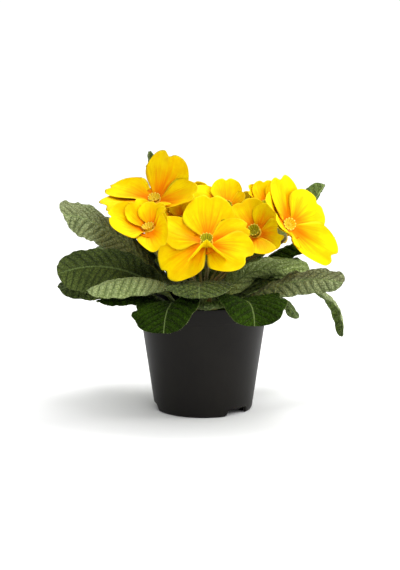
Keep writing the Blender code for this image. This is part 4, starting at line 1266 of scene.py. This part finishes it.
def leaf_finish(name, tones, vein, brown=0, under=False, seed=0.0, shine=0.12):
    """A leaf's face: veins from the UV maps, puckers and pores from noise, and a pale thin margin. Painted
    light brightens the domes between the side veins and the middles of the puckers, and painted shade
    darkens the creases at the veins, the lines between the puckers and the foot of the blade.

    brown tints the half of the blade on one side of the midrib, to the left for + and the right for -.
    """
    dark, light = tones
    # Painted shade: the dark tone darkened further, laid in the creases and at the foot of the blade
    painted_shade = tuple(0.45 * c for c in dark)
    made = Finish(name, dark, 0.5, shine, sheen=shine / 3)
    across, count = made.uv("pattern")
    t, s = made.uv("surface")
    from_middle = abs(t)
    off_vein = abs(count.math("FRACT") - 0.5)
    near_vein = off_vein.fade(0.435, 0.485)
    side_vein = near_vein * from_middle.fade(0.95, 0.2)
    place = made.node("ShaderNodeVectorMath", {0: made.place(), 1: (seed, seed, 0)}, operation="ADD")
    net = made.cells(place, 440.0)
    speck = made.noise(place, 900.0, 4.0)
    made.lay(light, made.noise(place, 55.0, 4.0).fade(0.35, 0.68))
    # Painted light on the middles of the puckers and on the domes between the side veins, then painted shade
    # towards the veins, in the creases along them, in the lines between the puckers and at the foot of the
    # blade
    made.lay(light, net.fade(0.03, 0.28) * 0.45)
    made.lay(light, off_vein.fade(0.32, 0.02) * from_middle.fade(1.0, 0.6) * 0.5)
    made.lay(dark, off_vein.fade(0.25, 0.5) * 0.5)
    made.lay(painted_shade, near_vein * 0.6)
    made.lay(painted_shade, net.fade(0.12, 0.0) * 0.72)
    made.lay(painted_shade, s.fade(0.6, 0.25) * 0.45)
    made.lay(light, speck.fade(0.4, 0.7) * 0.2)
    if brown:
        sign = math.copysign(1, brown)
        half = t.fade(-0.05 * sign, 0.35 * sign)
        made.lay(LEAF_BROWN, half * made.noise(place, 70.0).fade(0.3, 0.6) * abs(brown))
    made.lay(vein, side_vein * (0.5 if under else 0.22))
    made.lay(vein, (abs(across) + s * 0.045).fade(0.10, 0.055) * 0.8)
    made.lay(vein, s.fade(0.34, 0.12) * 0.6)
    made.lay(LEAF_MARGIN, from_middle.fade(0.97, 0.998) * 0.5)
    relief = net.fade(0.0, 0.4) + made.cells(place, 950.0).fade(0.0, 0.4) * 0.35
    relief = relief + speck * 0.25 - side_vein * 0.8
    return made.finish(speck * 0.2 + (0.5 if under else 0.36), relief * (-1 if under else 1), 0.75 * MM, 1.0)


def petal_finish(side):
    """Yellow petals with an amber and orange star at the throat, streaks along their veins, and a lemon rim
    that is a painted highlight along the margin.

    side is front, back or fold. The back is duller and has no star, and the fold is a back painted as if in
    full
    light, in a brighter lemon: painted light on a folded petal that turns its faces from the light.
    """
    made = Finish("petal_" + side, tint(246, 219, 0), 0.6, 0.04)
    w, v = made.uv("surface")
    shifted, _ = made.uv("pattern")
    aside = abs(w)
    streaks = made.noise(made.stretched(shifted * 7.0, v * 0.7), 1.0, 4.0, 0.6)
    fine = made.noise(made.stretched(shifted * 30.0, v * 1.3), 1.0, 3.0, 0.6)
    grain = made.noise(made.place(), 1500.0)
    reach = v + aside * aside * 0.35 - (streaks - 0.5) * 0.75 - (fine - 0.5) * 0.35
    made.lay(tint(236, 194, 0), made.noise(made.place(), 90.0).fade(0.35, 0.7))
    made.lay(tint(232, 180, 0), streaks.fade(0.48, 0.72) * 0.4)
    made.lay(tint(226, 160, 0), fine.fade(0.52, 0.66) * v.fade(1.0, 0.45) * 0.75)
    if side == "front":
        made.lay(tint(246, 156, 0), reach.fade(0.86, 0.26) * 0.85)
        made.lay(tint(238, 120, 0), reach.fade(0.46, 0.1) * 0.85)
    elif side == "fold":
        # Painted light: a brighter lemon over the folded petal, which faces away from the light
        made.lay(tint(255, 236, 10), 0.6)
    else:
        made.lay(tint(226, 160, 4), 0.4)
        made.lay(tint(198, 160, 30), v.fade(0.5, 0.0) * 0.6)
    # Painted highlight: a lighter lemon along the petal's rim and sides
    made.lay(tint(250, 224, 40), v.fade(0.95, 0.995).math("MAXIMUM", aside.fade(0.965, 0.995)) * 0.5)
    return made.finish(grain * 0.15 + 0.5, fine * 0.9 + grain * 0.2, 0.22 * MM)


def throat_finish(name, low, high):
    """Two close colours in clouds, with a fine grain."""
    made = Finish(name, low, 0.5, 0.3)
    grain = made.noise(made.place(), 1200.0)
    made.lay(high, made.noise(made.place(), 300.0).fade(0.35, 0.65))
    return made.finish(grain * 0.2 + 0.4, grain, 0.1 * MM, 0.5)


def eye_finish(name, low, high):
    """Pleats from low in the folds to high on the ribs, painted shade in the folds and painted light on the
    ribs, with pale tips at the rim.
    """
    made = Finish(name, low, 0.45, 0.3)
    turn, up = made.uv("pattern")
    pleat = abs((turn * (EYE_RIBS / 2)).math("COSINE"))
    grain = made.noise(made.place(), 1400.0)
    off_rim = abs(up - EYE_RIM) * 14.0
    # Painted shade in the pleats' folds and painted light on their ribs
    made.lay(high, pleat.fade(0.1, 0.9))
    made.lay(tint(206, 194, 36), made.noise(made.place(), 500.0).fade(0.4, 0.7) * 0.4)
    made.lay(tint(240, 222, 90), off_rim.fade(1.0, 0.2) * pleat.fade(0.5, 0.9) * 0.9)
    return made.finish(grain * 0.2 + 0.38, grain, 0.12 * MM, 0.5)


def stem_finish(name, low, high, rust):
    """A stalk or calyx: streaked along its length, with a rusty tinge in places."""
    made = Finish(name, low, 0.5, 0.3, sheen=0.1)
    turn, run = made.uv("surface")
    streak = made.noise(made.stretched(turn * 1.6, run * 60.0), 1.6, 4.0)
    grain = made.noise(made.place(), 1300.0)
    made.lay(high, streak.fade(0.35, 0.65))
    made.lay(rust, made.noise(made.place(), 120.0).fade(0.4, 0.65) * 0.6)
    return made.finish(grain * 0.2 + 0.4, streak * 0.6 + grain * 0.4, 0.15 * MM)


def pot_finish():
    """Thin charcoal polypropylene: faint flow lines up the wall, a fine grain, scuffs and a little dust."""
    made = Finish("pot_plastic", tint(18, 16, 14), 0.42, 0.13)
    turn, run = made.uv("surface")
    lines = made.noise(made.stretched(turn * 26.0, run * 14.0), 1.0, 4.0, 0.6)
    scuffs = made.noise(made.stretched(turn * 40.0, run * 900.0), 1.0, 3.0, 0.7)
    grain = made.noise(made.place(), 1800.0)
    cloud = made.noise(made.place(), 32.0, 4.0)
    made.lay(tint(23, 21, 18), cloud.fade(0.3, 0.7))
    made.lay(tint(28, 26, 23), lines.fade(0.5, 0.75) * 0.3)
    made.lay(tint(52, 49, 46), scuffs.fade(0.70, 0.82) * 0.35)
    return made.finish(cloud * 0.12 + grain * 0.12 + 0.34, lines * 0.6 + grain * 0.25, 0.12 * MM, 0.35)


def soil_finish(name, low, high, roughness):
    """Compost or perlite: grainy and clodded."""
    made = Finish(name, low, 0.95, 0.15)
    grain = made.noise(made.place(), 700.0, 6.0, 0.7)
    made.lay(high, grain.fade(0.35, 0.7))
    height = grain + made.cells(made.place(), 420.0) * 0.5
    return made.finish(grain * 0.15 + roughness, height, 0.5 * MM, 0.9)


# Stage


def stand(name, data, place, aim):
    """Puts a camera or lamp at a place, turned towards a point."""
    obj = add_object(name, data)
    obj.location = place
    obj.rotation_euler = (Vector(aim) - Vector(place)).to_track_quat("-Z", "Y").to_euler()
    return obj


def make_camera():
    """The photograph's camera."""
    data = bpy.data.cameras.new("photo_camera")
    data.lens = CAMERA_LENS
    data.sensor_width = CAMERA_SENSOR
    bpy.context.scene.camera = stand("photo_camera", data, CAMERA_PLACE, CAMERA_AIM)


def make_sky():
    """White light from all round, stronger from above and from the right."""
    world = bpy.data.worlds.new("studio")
    world.use_nodes = True
    nodes = Nodes(world.node_tree)
    backdrop = world.node_tree.nodes["Background"].inputs
    backdrop["Color"].default_value = (1, 1, 1, 1)
    way = nodes.node("ShaderNodeTexCoord", {}, "Generated")
    right, up = (nodes.node("ShaderNodeSeparateXYZ", {0: way}, axis) for axis in "XZ")
    brighter = nodes.node("ShaderNodeMapRange", {"Value": up, "To Min": SKY_LOW, "To Max": SKY_HIGH})
    nodes.put(backdrop["Strength"], brighter * (right * SKY_RIGHTWARD + 1))
    bpy.context.scene.world = world
    bpy.context.scene.view_settings.view_transform = "Standard"


def make_stage():
    """The soft light, and a plain pale floor."""
    make_sky()
    for name, (place, height, size, power) in SOFTBOXES.items():
        data = bpy.data.lights.new(name, "AREA")
        data.shape = "DISK"
        data.size = size
        data.energy = power
        stand(name, data, place, (0, 0, height))
    mesh = bpy.data.meshes.new("floor")
    corners = [(x * FLOOR_REACH, y * FLOOR_REACH, 0) for x, y in ((-1, -1), (1, -1), (1, 1), (-1, 1))]
    mesh.from_pydata(corners, [], [(0, 1, 2, 3)])
    mesh.materials.append(Finish("floor_white", FLOOR_COLOUR, 0.8, 0.2).finish())
    floor = add_object("floor", mesh)
    floor.location.z = -FLOOR_DROP


# The leaves' colours: the dark and the light of each tone, and each leaf's tone and how much of one half is
# brown. The grey, pale and bright tones are lighter copies of the leaf green: painted light and sheen on the
# leaves whose faces take the light. A leaf that isn't named here takes the darkest green and has less shine.

DEEP = (tint(24, 40, 2), tint(50, 76, 8))
DARK = (tint(50, 66, 18), tint(98, 114, 52))
MIDDLE = (tint(62, 80, 26), tint(110, 128, 60))
# Painted light and sheen: the grey, pale and bright tones are lighter copies of the leaf green
PAINTED_SHEEN_GREY = (tint(96, 110, 60), tint(162, 174, 120))
PAINTED_LIT_PALE = (tint(138, 158, 90), tint(192, 208, 144))
PAINTED_LIT_BRIGHT = (tint(170, 196, 100), tint(220, 236, 158))
UNDERSIDE = (tint(84, 108, 40), tint(122, 144, 68))
VEIN = tint(126, 146, 84)
UNDER_VEIN = tint(168, 184, 110)
LEAF_BROWN = tint(84, 70, 48)
LEAF_MARGIN = tint(140, 155, 85)
SHINE = 0.12
DEEP_SHINE = 0.03
LEAF_LOOKS = {
    "left_high": (PAINTED_SHEEN_GREY, -0.2),
    "left_middle": (DARK, 0),
    "left_low": (DARK, 0),
    "left_front": (PAINTED_LIT_PALE, 0),
    "front": (DARK, 0),
    "front_small": (PAINTED_LIT_PALE, 0),
    "right_front": (PAINTED_LIT_BRIGHT, 0),
    "right": (PAINTED_SHEEN_GREY, 0.5),
    "right_low": (MIDDLE, 0),
    "right_back": (PAINTED_SHEEN_GREY, 0.3),
    "right_upright": (MIDDLE, 0),
    "back_upright": (MIDDLE, 0),
    "back_right": (MIDDLE, 0),
    "back_left": (DARK, 0.4),
    "back_high_right": (DARK, 0),
    "back_high_left": (MIDDLE, 0),
}


def make_leaves():
    """All leaves. Gives the upper and lower points of the large ones, for the hairs."""
    blades = []
    for number, leaf in enumerate(LEAVES):
        tones, brown = LEAF_LOOKS.get(leaf.name, (DEEP, 0))
        shine = SHINE if leaf.name in LEAF_LOOKS else DEEP_SHINE
        upper = leaf_finish("upper_" + leaf.name, tones, VEIN, brown, seed=0.31 * number, shine=shine)
        lower = leaf_finish("under_" + leaf.name, UNDERSIDE, UNDER_VEIN, under=True, seed=0.2)
        blades.append(make_leaf(leaf, LEAF_SEED + number, [upper, lower]))
    upper = leaf_finish("upper_young", MIDDLE, VEIN, seed=9.1)
    lower = leaf_finish("under_young", UNDERSIDE, UNDER_VEIN, under=True, seed=9.1)
    make_young_leaves([upper, lower])
    return blades


def make_blooms():
    """All blooms, each with its corolla, its stalk and calyx, and its eye."""
    front, back, fold = (petal_finish(side) for side in ("front", "back", "fold"))
    throat = throat_finish("throat_amber", tint(196, 150, 10), tint(222, 170, 14))
    frill = throat_finish("frill_yellow", tint(232, 180, 16), tint(244, 204, 50))
    green_eye = eye_finish("eye_green", tint(140, 136, 10), tint(198, 192, 24))
    yellow_eye = eye_finish("eye_yellow", tint(206, 158, 10), tint(236, 206, 24))
    stalk = stem_finish("stalk_olive", tint(104, 104, 48), tint(132, 128, 66), tint(116, 76, 44))
    calyx = stem_finish("calyx_green", tint(98, 124, 50), tint(146, 164, 84), tint(126, 130, 60))
    for number, bloom in enumerate(BLOOMS):
        make_corolla(bloom, number, [front, back, throat, frill, fold])
        make_stalk(bloom, [stalk, calyx])
        make_eye(bloom, [yellow_eye if bloom.name in EYE_SHOWN else green_eye])


def main():
    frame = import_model()
    make_camera()
    make_stage()
    make_pot([pot_finish()])
    dark_soil = soil_finish("compost_dark", tint(38, 28, 20), tint(84, 64, 46), 0.8)
    perlite = soil_finish("perlite_white", tint(196, 192, 182), tint(226, 222, 214), 0.7)
    make_soil([dark_soil, perlite])
    make_crown([stem_finish("crown_green", tint(96, 108, 44), tint(134, 138, 66), tint(120, 84, 50))])
    blades = make_leaves()
    make_blooms()
    make_hairs(blades, [throat_finish("hair_pale", tint(176, 182, 140), tint(206, 208, 176))])
    print(len(frame["nodes"]), "CAD nodes replaced")


main()
